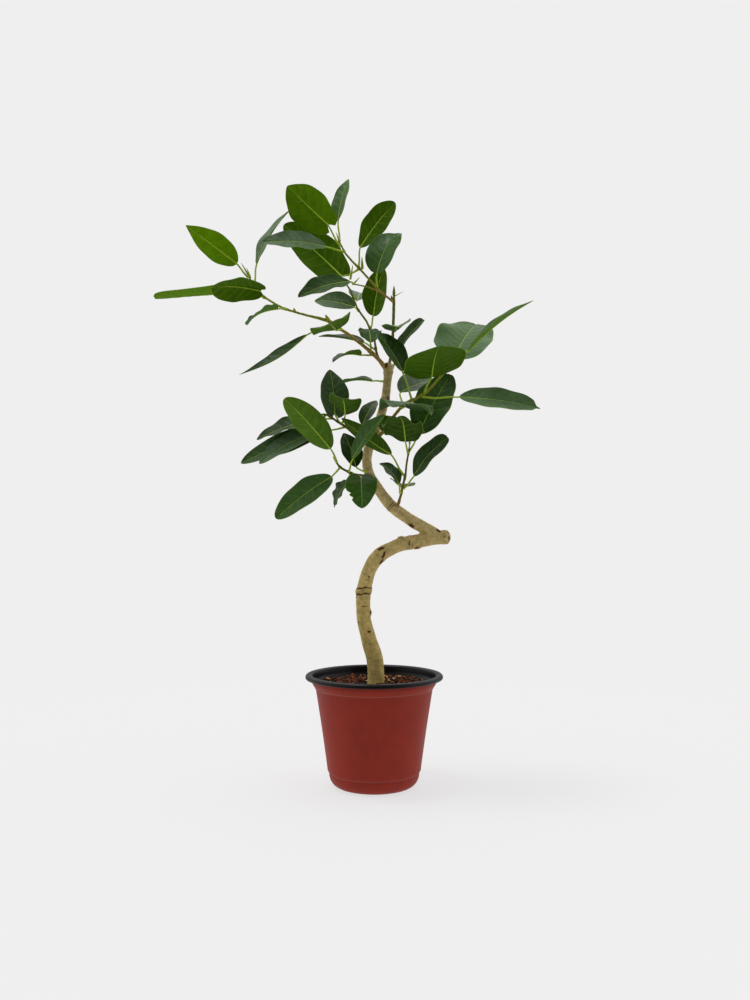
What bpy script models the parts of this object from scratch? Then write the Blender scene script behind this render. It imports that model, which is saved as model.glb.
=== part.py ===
"""Potted fig tree: a bare, bent trunk with leafy side shoots, in a thin plastic nursery pot.

Lengths are in metres and +Z is up.  The origin is the centre of the pot's underside.
The tree is drawn in millimetres from the middle of the potting mix's surface, on a tree
DRAWN_HEIGHT tall, and is scaled to TREE_HEIGHT.
"""
import math
from collections import namedtuple

import bmesh
import bpy
from mathutils import Matrix, Vector

CLEARANCE = 0.0003          # gap kept between pieces that touch

# The pot
POT_HEIGHT = 0.137
MOUTH_DIAMETER = 0.146      # wall below the lip, outside
LIP_WIDTH = 0.012           # how far the rolled lip stands out from the wall
LIP_HEIGHT = 0.005          # how far the lip turns down
FOOT_DIAMETER = 0.1145      # wall above the foot, outside
FOOT_HEIGHT = 0.018
FOOT_STEP = 0.0012          # how far the foot stands in from the wall
FOOT_STEP_HEIGHT = 0.002    # half the height that the step takes
FOOT_BEAD = 0.0006          # slight bulge above the step
FOOT_INSET = 0.014          # how far the foot curves in to the underside
FOOT_LEDGE = 0.002          # straight foot above the curve
BAND_HEIGHT = 0.016         # flared band below the rim's top
BAND_FLARE = 0.0045         # how far the band leans out under the lip
GROOVE_DEPTH = 0.0006       # fine groove below the band
GROOVE_WIDTH = 0.0024
LIP_ROUNDING = 0.002
POT_WALL = 0.0012
POT_STEPS = 48              # flats round the turned shapes
DRAIN_HOLES = 8
DRAIN_DIAMETER = 0.008
DRAIN_INSET = 0.0070        # from the underside's edge to the drain holes' circle

# The potting mix
MIX_BELOW_RIM = 0.014
MIX_MOUND = 0.002           # rise of the surface round the trunk
MOUND_RADIUS = 0.042

# The tree
TREE_HEIGHT = 0.640         # mix surface to the top leaf
DRAWN_HEIGHT = 640.0        # the same, in the drawing's millimetres
PLANTING_DEPTH = 0.055      # trunk below the mix surface
BURIED_TAPER = 0.9          # the buried end's thickness, as a share of the foot's
TRUNK_DIAMETER = 0.0212     # at the mix surface
SHOOT_DIAMETER = 0.0050     # at the thickest shoot's start
STALK_DIAMETER = 0.0020
LEAF_THICKNESS = 0.0009
TRUNK_BEVEL = 4             # curve bevel resolution: 12 sides
SHOOT_BEVEL = 2             # 8 sides

BARK = (0.42, 0.36, 0.20)
SHOOT_BARK = (0.27, 0.21, 0.07)
LEAF_GREEN = (0.03, 0.10, 0.02)
YOUNG_GREEN = (0.06, 0.20, 0.03)
BRICK_RED = (0.25, 0.035, 0.025)
MIX_BROWN = (0.14, 0.05, 0.02)

WELD_DISTANCE = 0.000001
TURN_MERGE = 0.00001
DRAWING = TREE_HEIGHT / DRAWN_HEIGHT
MIX_LEVEL = POT_HEIGHT - MIX_BELOW_RIM
TREE_FOOT = Vector((0.0, 0.0, MIX_LEVEL))

# Trunk stations: x, y, z in the drawing, and thickness as a share of TRUNK_DIAMETER.
LOWER_TRUNK = (
    (2, 0, -6, 1.02), (2, 0, 12, 1.00), (1, 0, 32, 0.99), (-4, 0, 48, 0.96), (-9, -2, 66, 0.89),
    (-13, -3, 84, 0.84), (-14, -4, 99, 0.83), (-13, -4, 116, 0.90), (-11, -3, 129, 0.85),
    (-6, -1, 144, 0.82), (0, 1, 155, 0.85), (9, 3, 164, 0.86), (20, 4, 170, 0.82),
    (35, 4, 176, 0.83), (51, 3, 179, 0.84), (72, 2, 183, 0.82), (95, 1, 186, 0.84),
)
UPPER_TRUNK = (
    (80, 2, 187, 0.66), (67, 3, 194, 0.74), (51, 5, 203, 0.73), (36, 7, 213, 0.71),
    (24, 9, 222, 0.72), (14, 11, 233, 0.68), (5, 12, 246, 0.65), (-4, 12, 260, 0.62),
    (-9, 11, 274, 0.59), (-9, 9, 288, 0.60), (-5, 7, 302, 0.60), (1, 4, 317, 0.59),
    (7, 2, 333, 0.55), (12, 0, 350, 0.53), (15, 0, 367, 0.52), (17, 0, 384, 0.51),
    (18, 0, 404, 0.58),
)

# Shoot stations: x, y, z in the drawing, and thickness as a share of SHOOT_DIAMETER.
LEFT_BRANCH = (
    (15, -2, 398, 1.00), (4, -5, 409, 1.10), (-9, -10, 420, 0.95), (-28, -16, 434, 0.85),
    (-41, -20, 442, 0.80), (-57, -24, 452, 0.95), (-81, -30, 457, 0.62), (-109, -36, 464, 0.62),
    (-125, -40, 472, 0.56), (-140, -44, 482, 0.56), (-152, -46, 501, 0.40),
)
LEADER = (
    (18, 0, 400, 0.85), (22, 3, 418, 0.80), (24, 7, 450, 0.76), (25, 10, 484, 0.80),
    (25, 10, 496, 0.25),
)
TOP_BRANCH = (
    (25, 9, 482, 0.60), (18, 7, 488, 0.64), (7, 4, 496, 0.60), (-7, 2, 511, 0.56),
    (-19, 0, 524, 0.62), (-36, -5, 541, 0.50), (-45, -10, 558, 0.36),
)
TOP_TWIG = (
    (18, 7, 488, 0.40), (9, 0, 493, 0.44), (-10, -6, 499, 0.42), (-27, -12, 501, 0.38),
)
MIDDLE_BRANCH = (
    (14, 2, 396, 0.85), (6, 9, 409, 0.85), (2, 12, 423, 0.64), (0, 15, 437, 0.60),
    (-10, 20, 461, 0.56), (-22, 24, 479, 0.54), (-31, 26, 503, 0.50), (-42, 26, 518, 0.36),
)
RIGHT_BRANCH = (
    (3, 2, 310, 1.10), (13, -8, 318, 0.95), (25, -14, 336, 0.85), (38, -18, 350, 0.85),
    (49, -21, 355, 0.80), (61, -24, 361, 0.74), (71, -26, 370, 0.62), (89, -30, 390, 0.60),
    (109, -34, 407, 0.50),
)
LOW_RIGHT_SHOOT = (
    (27, 8, 219, 0.90), (31, -2, 229, 0.80), (34, -6, 241, 0.64), (37, -10, 254, 0.60),
    (39, -12, 264, 0.56), (40, -14, 275, 0.54), (42, -16, 287, 0.50), (44, -17, 301, 0.24),
)
UPPER_LEFT_SHOOT = (
    (-5, 7, 299, 0.90), (-12, -1, 303, 0.75), (-20, -6, 308, 0.62), (-33, -12, 320, 0.58),
    (-42, -15, 326, 0.58), (-59, -20, 336, 0.50), (-67, -22, 336, 0.30),
)
LOWER_LEFT_SHOOT = (
    (-4, 12, 260, 0.90), (-13, 2, 262, 0.70), (-23, -6, 263, 0.60), (-30, -10, 265, 0.60),
    (-43, -16, 272, 0.60), (-48, -20, 280, 0.36),
)

# A leaf starts at a share of its shoot's length.  Stalk and reach run from the shoot to the
# blade's base and on to its tip, in the drawing's millimetres, and face points out of its upper
# side.  Arch and hook bend the midrib, fold lifts the margins (degrees) and twist turns the blade.
Leaf = namedtuple("Leaf", "share stalk reach width face arch fold twist hook young")


def leaf(share, stalk, reach, width, face, arch=4, fold=14, twist=0, hook=0, young=False):
    """Describe one leaf, with the usual bends where none are given."""
    return Leaf(share, stalk, reach, width, face, arch, fold, twist, hook, young)


LEFT_BRANCH_LEAVES = (
    leaf(1.00, (-14, -4, 15), (-58, -22, 40), 34, (-0.1, 0.9, 0.5), arch=1, young=True),
    leaf(0.89, (3, -12, 0), (-52, -38, -6), 42, (-0.3, 0.4, 0.8), fold=-16),
    leaf(0.95, (2, 10, 28), (38, 26, 74), 30, (-0.7, -0.5, 0.5), twist=-12),
    leaf(0.85, (-19, 14, 11), (-119, 6, -8), 42, (-0.1, 0.0, 1.0), arch=0),
    leaf(0.43, (-29, -12, -17), (-80, -16, -52), 28, (-0.4, -0.5, 0.7), arch=-7, fold=22),
    leaf(0.71, (-8, -13, -2), (-30, -52, -31), 24, (-0.5, -0.1, 0.9), arch=2, hook=3),
    leaf(0.14, (1, -10, 9), (-3, 36, 24), 30, (0.1, -0.6, 0.7), fold=8),
    leaf(0.36, (-5, -14, -4), (-6, -70, -8), 52, (-0.4, -0.1, 0.9), arch=3, fold=6),
    leaf(0.12, (-14, -7, -3), (-33, -44, -17), 24, (-0.3, -0.2, 0.9), arch=5),
)
LEADER_LEAVES = (
    leaf(0.54, (2, -14, -9), (5, -72, -10), 38, (-0.2, -0.1, 1.0), fold=16),
)
TOP_BRANCH_LEAVES = (
    leaf(1.00, (-16, -10, 23), (-49, -22, 41), 50, (-0.2, 0.9, 0.3), young=True),
    leaf(0.58, (-22, 8, -8), (-76, 18, 72), 52, (0.3, 0.9, 0.3), arch=6),
    leaf(0.85, (-22, -16, 1), (-76, -28, -3), 30, (0.3, -0.8, 0.5), arch=5),
    leaf(0.98, (-2, 6, 27), (13, 18, 60), 26, (-0.6, -0.7, 0.3), arch=3),
    leaf(0.60, (2, 6, 27), (45, 4, 59), 34, (-0.5, 0.8, 0.3), arch=5, young=True),
    leaf(0.29, (1, -14, 13), (29, 16, 56), 46, (-0.5, -0.8, 0.2), hook=5),
)
TOP_TWIG_LEAVES = (
    leaf(1.00, (-3, -9, 1), (-62, -30, -27), 34, (0.1, -0.7, 0.7), arch=5),
)
MIDDLE_BRANCH_LEAVES = (
    leaf(0.24, (-15, 8, 10), (-60, 30, 13), 32, (0.1, -0.3, 1.0), arch=2),
    leaf(0.45, (4, 10, 18), (14, -6, 62), 36, (-0.5, 0.8, 0.1), young=True),
    leaf(0.66, (-5, 10, 6), (-54, 32, 16), 32, (-0.2, -0.8, 0.6)),
    leaf(0.81, (6, 10, -4), (4, 68, 26), 30, (0.1, -0.4, 0.9)),
)
RIGHT_BRANCH_LEAVES = (
    leaf(0.45, (-12, -11, 34), (-31, 14, 49), 34, (0.5, -0.8, 0.3), fold=24),
    leaf(0.57, (7, -13, 17), (3, -84, 22), 76, (-0.2, 0.2, 0.9), arch=3, fold=-3, young=True),
    leaf(0.83, (7, 10, 14), (37, 74, 60), 74, (0.0, -0.7, 0.7), arch=5, fold=8),
    leaf(1.00, (5, -6, 5), (76, -24, 56), 32, (-0.6, -0.2, 0.8), arch=4, fold=20),
    leaf(0.54, (45, -10, -3), (96, -18, -17), 34, (-0.1, -0.8, 0.6), arch=0, hook=4),
    leaf(0.37, (-4, 22, 19), (50, 58, 24), 44, (0.1, -0.6, 0.8)),
    leaf(0.35, (2, -19, -3), (3, -68, -5), 66, (0.1, -0.3, 1.0), arch=4, fold=-10),
)
LOW_RIGHT_LEAVES = (
    leaf(0.90, (13, 10, 22), (41, 12, 76), 50, (-0.2, -0.9, 0.4), arch=5),
    leaf(0.87, (-4, -16, 12), (-9, -64, 24), 52, (0.1, 0.3, 0.9), arch=8, fold=-12),
    leaf(0.37, (14, -6, 15), (41, -18, 46), 31, (-0.7, -0.7, 0.3), arch=5),
    leaf(0.30, (-3, -8, 11), (-24, 10, 26), 26, (0.6, -0.6, 0.5), arch=4),
    leaf(0.50, (-3, 14, -10), (0, 62, 5), 34, (0.2, -0.7, 0.8)),
    leaf(0.55, (-17, -4, 26), (-62, -10, 44), 26, (0.3, 0.7, 0.6), arch=-3),
)
LOWER_LEFT_LEAVES = (
    leaf(0.61, (5, -17, 15), (40, -20, 52), 32, (-0.7, -0.6, 0.4), arch=3),
    leaf(0.50, (10, -14, -5), (2, -40, -39), 40, (0.0, -0.7, 0.7), arch=6),
    leaf(0.56, (-3, 3, -11), (-18, 22, -30), 28, (-0.7, -0.5, 0.4), arch=3),
    leaf(0.97, (-6, -9, 15), (-54, -30, 58), 38, (0.1, 0.9, 0.4), young=True),
    leaf(0.82, (-10, -6, -12), (-66, -26, -52), 34, (0.1, -0.8, 0.5), arch=6),
)
UPPER_LEFT_LEAVES = (
    leaf(0.69, (-4, 4, 10), (-7, 20, 59), 38, (0.3, -0.9, 0.4), arch=4),
    leaf(0.62, (5, -14, 10), (-3, -64, 12), 40, (0.2, 0.2, 1.0), arch=5),
    leaf(0.80, (-15, 9, 0), (-82, 22, -24), 32, (-0.3, -0.6, 0.7), arch=5),
    leaf(0.56, (-22, 8, -5), (-113, 34, -38), 34, (-0.4, -0.8, 0.4), arch=6),
    leaf(0.92, (-10, 11, -19), (-74, 12, -40), 32, (-0.4, -0.7, 0.5), arch=5),
)
TRUNK_LEAVES = (
    leaf(0.97, (11, 8, 21), (34, -6, 42), 28, (-0.7, -0.5, 0.5), arch=3),
    leaf(0.91, (-19, 10, 3), (-46, 24, -3), 26, (-0.1, -0.2, 1.0)),
    leaf(0.70, (6, -17, -11), (18, -30, 14), 26, (0.1, 0.3, 0.9)),
    leaf(0.63, (-13, 14, 18), (18, 34, 36), 22, (-0.2, -0.7, 0.7)),
    leaf(0.47, (-15, -20, 3), (-16, 15, 44), 28, (0.2, -0.8, 0.5)),
)

BLADE_STATIONS = (0.0, 0.05, 0.14, 0.28, 0.45, 0.62, 0.78, 0.91)
STALK_STATIONS = (0.0, 0.35, 0.70)
STALK_BEND = 0.35           # share of a stalk's length before it turns to the blade
CROSS_POINTS = 8            # points round a stalk or a blade section
QUARTER = 0.55              # the flank points' share of the half width
OUTLINE_SKEW = 0.85         # below 1 puts the widest place nearer the stalk
OUTLINE_ROUNDNESS = 0.7     # below 1 makes the ends blunter
FLANK_CURVE = 1.6           # how the lift grows from the midrib to the margin
HOOK_SHAPE = 2.6            # makes s - s**3 reach 1 at its peak


def clear_scene():
    """Remove every object of the scene."""
    for item in list(bpy.data.objects):
        bpy.data.objects.remove(item, do_unlink=True)


def new_collection(name):
    """Make a collection in the scene."""
    group = bpy.data.collections.new(name)
    bpy.context.scene.collection.children.link(group)
    return group


def new_material(name, colour, roughness):
    """Make a plain Principled material."""
    finish = bpy.data.materials.new(name)
    finish.use_nodes = True
    shader = finish.node_tree.nodes["Principled BSDF"]
    shader.inputs["Base Color"].default_value = (*colour, 1.0)
    shader.inputs["Roughness"].default_value = roughness
    shader.inputs["Metallic"].default_value = 0.0
    return finish


def place(name, mesh, group, colour, roughness):
    """Put a mesh in the scene as a named piece with its own material."""
    piece = bpy.data.objects.new(name, mesh)
    mesh.materials.clear()
    mesh.materials.append(new_material(name + "_finish", colour, roughness))
    group.objects.link(piece)
    return piece


def place_cutter(name, mesh, group):
    """Put a mesh in the scene as a cutter."""
    piece = bpy.data.objects.new(name, mesh)
    piece.display_type = "WIRE"
    piece.hide_render = True
    group.objects.link(piece)
    return piece


def boolean(piece, cutter, operation):
    """Add an exact boolean to a piece."""
    step = piece.modifiers.new(operation.lower(), "BOOLEAN")
    step.operation = operation
    step.object = cutter
    step.solver = "EXACT"


def turned(name, profile, group):
    """Turn a profile of (radius, height) points round the Z axis."""
    mesh = bpy.data.meshes.new(name)
    corners = [(radius, 0.0, height) for radius, height in profile]
    mesh.from_pydata(corners, [(i, i + 1) for i in range(len(corners) - 1)], [])
    piece = bpy.data.objects.new(name, mesh)
    group.objects.link(piece)
    screw = piece.modifiers.new("turn", "SCREW")
    screw.steps = POT_STEPS
    screw.render_steps = POT_STEPS
    screw.use_merge_vertices = True
    screw.merge_threshold = TURN_MERGE
    return piece


def smooth_path(stations, pieces=2):
    """Run a smooth curve through stations of (place, radius)."""
    rows = [stations[0], *stations, stations[-1]]
    path = []
    for before, start, end, after in zip(rows, rows[1:], rows[2:], rows[3:]):
        for step in range(pieces):
            t = step / pieces
            weights = (
                -0.5 * t + t * t - 0.5 * t ** 3,
                1.0 - 2.5 * t * t + 1.5 * t ** 3,
                0.5 * t + 2.0 * t * t - 1.5 * t ** 3,
                -0.5 * t * t + 0.5 * t ** 3,
            )
            row = (before, start, end, after)
            point = sum((w * item[0] for w, item in zip(weights, row)), Vector())
            radius = sum(w * item[1] for w, item in zip(weights, row))
            path.append((point, radius))
    path.append(stations[-1])
    return path


def drawn(x, y, z):
    """Turn a direction of the drawing into metres."""
    return Vector((x, y, z)) * DRAWING


def limb_path(stations, diameter):
    """Turn drawn stations into a smooth path of (place, radius)."""
    placed = [(TREE_FOOT + drawn(x, y, z), share * diameter / 2) for x, y, z, share in stations]
    return smooth_path(placed)


def lengthened(path, extra):
    """Move a path's two ends out by extra."""
    (first, start), (second, _) = path[:2]
    (before, _), (last, end) = path[-2:]
    foot = first + (first - second).normalized() * extra
    head = last + (last - before).normalized() * extra
    return [(foot, start), *path[1:-1], (head, end)]


def tube_mesh(name, path, bevel, extra=0.0):
    """Make a capped tube along a path, fatter and longer by extra all round."""
    path = lengthened(path, extra)
    curve = bpy.data.curves.new(name, "CURVE")
    curve.dimensions = "3D"
    curve.bevel_depth = 1.0
    curve.bevel_resolution = bevel
    curve.use_fill_caps = True
    spline = curve.splines.new("POLY")
    spline.points.add(len(path) - 1)
    for point, (location, radius) in zip(spline.points, path):
        point.co = (*location, 1.0)
        point.radius = radius + extra
    guide = bpy.data.objects.new(name, curve)
    bpy.context.scene.collection.objects.link(guide)
    evaluated = guide.evaluated_get(bpy.context.evaluated_depsgraph_get())
    mesh = bpy.data.meshes.new_from_object(evaluated)
    bpy.data.objects.remove(guide)
    bpy.data.curves.remove(curve)
    weld(mesh)
    return mesh


def weld(mesh):
    """Merge a mesh's doubled points and turn its faces out."""
    work = bmesh.new()
    work.from_mesh(mesh)
    bmesh.ops.remove_doubles(work, verts=work.verts, dist=WELD_DISTANCE)
    bmesh.ops.recalc_face_normals(work, faces=work.faces)
    work.to_mesh(mesh)
    work.free()


def along(path, share):
    """Give the place, direction and radius at a share of a path's length."""
    lengths = [(b[0] - a[0]).length for a, b in zip(path, path[1:])]
    left = share * sum(lengths)
    for (start, end), length in zip(zip(path, path[1:]), lengths):
        if left <= length:
            break
        left -= length
    t = min(left / length, 1.0)
    direction = (end[0] - start[0]).normalized()
    return start[0].lerp(end[0], t), direction, start[1] + (end[1] - start[1]) * t


def outline(s):
    """Give the blade's half width at s, from 0 at its base to 1 at its tip."""
    return math.sin(math.pi * s ** OUTLINE_SKEW) ** OUTLINE_ROUNDNESS


def stalk_path(start, outward, base, heading):
    """Run a curve from the shoot's skin to the blade's base, as places and directions."""
    span = (base - start).length
    first = start + outward * span * STALK_BEND
    second = base - heading * span * STALK_BEND
    for t in STALK_STATIONS:
        u = 1.0 - t
        point = start * u ** 3 + first * 3 * t * u * u + second * 3 * t * t * u + base * t ** 3
        slope = (first - start) * u * u + (second - first) * 2 * t * u + (base - second) * t * t
        yield point, slope.normalized()


def section(centre, side, normal, half, lift, middle, flank):
    """Give the points round a blade section: left margin, upper side, right margin, under side."""
    ring = []
    for x, height in ((-1, 0), (-QUARTER, 1), (0, 2), (QUARTER, 1), (1, 0),
                      (QUARTER, -1), (0, -2), (-QUARTER, -1)):
        skin = {0: 0.0, 1: flank, 2: middle}[abs(height)] * (1 if height > 0 else -1)
        rise = abs(x) ** FLANK_CURVE * half * math.sin(lift) + skin
        ring.append(centre + side * (x * half * math.cos(lift)) + normal * rise)
    return ring


def round_section(centre, side, normal, radius):
    """Give the points round a stalk, in the order of a blade section."""
    ring = []
    for index in range(CROSS_POINTS):
        angle = math.pi - index * 2 * math.pi / CROSS_POINTS
        ring.append(centre + side * radius * math.cos(angle) + normal * radius * math.sin(angle))
    return ring


def leaf_mesh(name, spec, path):
    """Loft one leaf, from its stalk's foot on the shoot's skin to its tip."""
    anchor, axis, radius = along(path, spec.share)
    stalk = drawn(*spec.stalk)
    reach = drawn(*spec.reach)
    heading = reach.normalized()
    outward = (stalk - axis * stalk.dot(axis)).normalized()
    thick = STALK_DIAMETER / 2
    start = anchor + outward * (radius + CLEARANCE)
    base = anchor + stalk
    face = Vector(spec.face)
    upper = (face - heading * face.dot(heading)).normalized()
    across = heading.cross(upper)
    rings = []
    for point, slope in stalk_path(start, outward, base, heading):
        side = (across - slope * across.dot(slope)).normalized()
        rings.append(round_section(point, side, side.cross(slope), thick))

    def midrib(s):
        rise = spec.arch * math.sin(math.pi * s) + spec.hook * HOOK_SHAPE * (s - s ** 3)
        return base + reach * s + upper * rise * DRAWING

    for s in BLADE_STATIONS:
        slope = (midrib(s + 0.01) - midrib(s - 0.01)).normalized()
        side = (across - slope * across.dot(slope)).normalized()
        turn = Matrix.Rotation(math.radians(spec.twist) * (s - 0.5), 3, slope)
        side = turn @ side
        normal = side.cross(slope)
        if s == 0.0:
            rings.append(round_section(midrib(s), side, normal, thick))
            continue
        half = spec.width * DRAWING / 2 * outline(s)
        middle = LEAF_THICKNESS / 2 + (thick - LEAF_THICKNESS / 2) * (1.0 - s) ** 2
        lift = math.radians(spec.fold)
        rings.append(section(midrib(s), side, normal, half, lift, middle, LEAF_THICKNESS / 2))
    return loft(name, rings, midrib(1.0))


def loft(name, rings, tip):
    """Skin a row of rings, closed flat at its start and to a point at its end."""
    corners = [point for ring in rings for point in ring]
    corners.append(tip)
    faces = [tuple(range(CROSS_POINTS))]
    for row in range(len(rings) - 1):
        for i in range(CROSS_POINTS):
            here = row * CROSS_POINTS + i
            beside = row * CROSS_POINTS + (i + 1) % CROSS_POINTS
            faces.append((here, beside, beside + CROSS_POINTS, here + CROSS_POINTS))
    last = (len(rings) - 1) * CROSS_POINTS
    for i in range(CROSS_POINTS):
        faces.append((last + i, last + (i + 1) % CROSS_POINTS, len(corners) - 1))
    mesh = bpy.data.meshes.new(name)
    mesh.from_pydata(corners, [], faces)
    weld(mesh)
    return mesh


def pot_outside():
    """List the pot's outer wall from below the lip down to the underside."""
    mouth = MOUTH_DIAMETER / 2
    foot = FOOT_DIAMETER / 2
    band = POT_HEIGHT - BAND_HEIGHT
    points = [
        (mouth + BAND_FLARE, POT_HEIGHT - LIP_HEIGHT),
        (mouth, band + GROOVE_WIDTH / 2),
        (mouth - GROOVE_DEPTH, band),
        (mouth - GROOVE_DEPTH / 2, band - GROOVE_WIDTH / 2),
        (foot + FOOT_BEAD, FOOT_HEIGHT + FOOT_STEP_HEIGHT),
        (foot - FOOT_STEP * 0.7, FOOT_HEIGHT),
        (foot - FOOT_STEP, FOOT_HEIGHT - FOOT_STEP_HEIGHT),
    ]
    curve_height = FOOT_HEIGHT - FOOT_LEDGE
    for angle in (0, 30, 60, 90):
        lean = math.radians(angle)
        radius = foot - FOOT_STEP - FOOT_INSET * (1.0 - math.cos(lean))
        points.append((radius, curve_height * (1.0 - math.sin(lean))))
    return points


def pot_inside():
    """List the pot's inner wall from its floor's edge up to the mouth."""
    return [(r - POT_WALL, z + POT_WALL * 0.5) for r, z in reversed(pot_outside()[:-1])]


def lip_profile():
    """List the rolled lip's section, from the inner wall over the top to the outer wall."""
    edge = MOUTH_DIAMETER / 2 + LIP_WIDTH
    inner = MOUTH_DIAMETER / 2 + BAND_FLARE
    top = POT_HEIGHT
    under = top - POT_WALL
    bevel = LIP_ROUNDING / 2
    return [
        (inner - POT_WALL / 2, top - bevel),
        (inner + bevel, top),
        (edge - LIP_ROUNDING, top),
        (edge - LIP_ROUNDING * 0.3, top - LIP_ROUNDING * 0.3),
        (edge, top - LIP_ROUNDING),
        (edge, top - LIP_HEIGHT),
        (edge - POT_WALL, top - LIP_HEIGHT),
        (edge - POT_WALL, top - LIP_ROUNDING),
        (edge - LIP_ROUNDING, under),
        (inner + POT_WALL, under),
    ]


def build_pot(parts, cutters):
    """Turn the pot and drill its drain holes."""
    inside = pot_inside()
    floor = inside[0][0]
    profile = [(0.0, POT_WALL), (floor, POT_WALL), *inside[1:], *lip_profile(), *pot_outside()]
    profile.append((0.0, 0.0))
    pot = turned("nursery_pot", profile, parts)
    pot.data.materials.append(new_material("nursery_pot_finish", BRICK_RED, 0.5))
    circle = pot_outside()[-1][0] - DRAIN_INSET
    drill = bmesh.new()
    for index in range(DRAIN_HOLES):
        turn = Matrix.Rotation(2 * math.pi * index / DRAIN_HOLES, 4, "Z")
        shift = Matrix.Translation((circle, 0.0, POT_WALL / 2))
        bmesh.ops.create_cone(drill, cap_ends=True, segments=16, radius1=DRAIN_DIAMETER / 2,
                              radius2=DRAIN_DIAMETER / 2, depth=POT_WALL * 6,
                              matrix=turn @ shift)
    mesh = bpy.data.meshes.new("drain_drill")
    drill.to_mesh(mesh)
    drill.free()
    boolean(pot, place_cutter("drain_drill", mesh, cutters), "DIFFERENCE")


def build_mix(parts, cutters, trunk_path):
    """Fill the pot with potting mix, open round the trunk."""
    wall = [(r - CLEARANCE, z) for r, z in pot_inside()[1:]]
    wall = [point for point in wall if point[1] < MIX_LEVEL]
    above = next(point for point in pot_inside() if point[1] >= MIX_LEVEL)
    below = wall[-1]
    share = (MIX_LEVEL - below[1]) / (above[1] - below[1])
    rim = below[0] + (above[0] - CLEARANCE - below[0]) * share
    floor = POT_WALL + CLEARANCE
    crest = MIX_LEVEL + MIX_MOUND
    profile = [(0.0, crest), (MOUND_RADIUS, MIX_LEVEL + MIX_MOUND / 2)]
    profile.append((rim, MIX_LEVEL))
    profile.extend(reversed([point for point in wall if point[1] > floor]))
    profile.append((pot_inside()[0][0] - CLEARANCE, floor))
    profile.append((0.0, floor))
    mix = turned("potting_mix", profile, parts)
    mix.data.materials.append(new_material("potting_mix_finish", MIX_BROWN, 0.9))
    core = tube_mesh("trunk_socket", trunk_path, TRUNK_BEVEL, CLEARANCE)
    boolean(mix, place_cutter("trunk_socket", core, cutters), "DIFFERENCE")


def planted_path():
    """Give the lower trunk's path, with its buried end."""
    path = limb_path(LOWER_TRUNK, TRUNK_DIAMETER)
    top, radius = path[0]
    return [(top - Vector((0.0, 0.0, PLANTING_DEPTH)), radius * BURIED_TAPER), *path]


def build_trunk(parts, cutters, lower, upper):
    """Join the topped lower trunk and the limb that took over from it."""
    trunk = place("trunk", tube_mesh("trunk", lower, TRUNK_BEVEL), parts, BARK, 0.7)
    limb = place_cutter("upper_limb", tube_mesh("upper_limb", upper, TRUNK_BEVEL), cutters)
    boolean(trunk, limb, "UNION")


def build_shoot(name, path, parent, groups):
    """Grow a shoot from its parent's skin."""
    parts, cutters = groups
    shoot = place(name, tube_mesh(name, path, SHOOT_BEVEL), parts, SHOOT_BARK, 0.6)
    skin = tube_mesh(name + "_seat", parent, TRUNK_BEVEL, CLEARANCE)
    boolean(shoot, place_cutter(name + "_seat", skin, cutters), "DIFFERENCE")
    return shoot


def build_leaves(stem, leaves, path, parts):
    """Set a shoot's leaves along it."""
    for number, spec in enumerate(leaves, start=1):
        name = f"{stem}_leaf_{number}"
        colour = YOUNG_GREEN if spec.young else LEAF_GREEN
        place(name, leaf_mesh(name, spec, path), parts, colour, 0.4)


def main():
    """Build the potted fig."""
    clear_scene()
    parts = new_collection("potted_fig")
    cutters = new_collection("cutters")
    lower = planted_path()
    upper = limb_path(UPPER_TRUNK, TRUNK_DIAMETER)
    leader = limb_path(LEADER, SHOOT_DIAMETER)
    build_pot(parts, cutters)
    build_mix(parts, cutters, lower)
    build_trunk(parts, cutters, lower, upper)
    build_leaves("trunk", TRUNK_LEAVES, upper, parts)
    for name, stations, parent, leaves in (
        ("left_branch", LEFT_BRANCH, upper, LEFT_BRANCH_LEAVES),
        ("leader", LEADER, upper, LEADER_LEAVES),
        ("middle_branch", MIDDLE_BRANCH, upper, MIDDLE_BRANCH_LEAVES),
        ("right_branch", RIGHT_BRANCH, upper, RIGHT_BRANCH_LEAVES),
        ("low_right_shoot", LOW_RIGHT_SHOOT, upper, LOW_RIGHT_LEAVES),
        ("upper_left_shoot", UPPER_LEFT_SHOOT, upper, UPPER_LEFT_LEAVES),
        ("lower_left_shoot", LOWER_LEFT_SHOOT, upper, LOWER_LEFT_LEAVES),
        ("top_branch", TOP_BRANCH, leader, TOP_BRANCH_LEAVES),
    ):
        path = limb_path(stations, SHOOT_DIAMETER)
        shoot = build_shoot(name, path, parent, (parts, cutters))
        build_leaves(name, leaves, path, parts)
        if name == "top_branch":
            twig_path = limb_path(TOP_TWIG, SHOOT_DIAMETER)
            twig = tube_mesh("top_twig", twig_path, SHOOT_BEVEL)
            boolean(shoot, place_cutter("top_twig", twig, cutters), "UNION")
            build_leaves("top_twig", TOP_TWIG_LEAVES, twig_path, parts)


main()
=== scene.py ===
"""Looks of a potted fig tree: a bent, bare trunk with leafy side shoots in a two-tone nursery pot.

Lengths are in metres, +Z is up, and the origin is the centre of the pot's underside.
"""

import heapq
import math
import random

import bmesh
import bpy
import numpy as np
from mathutils import Matrix, Vector
from mathutils.bvhtree import BVHTree


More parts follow.
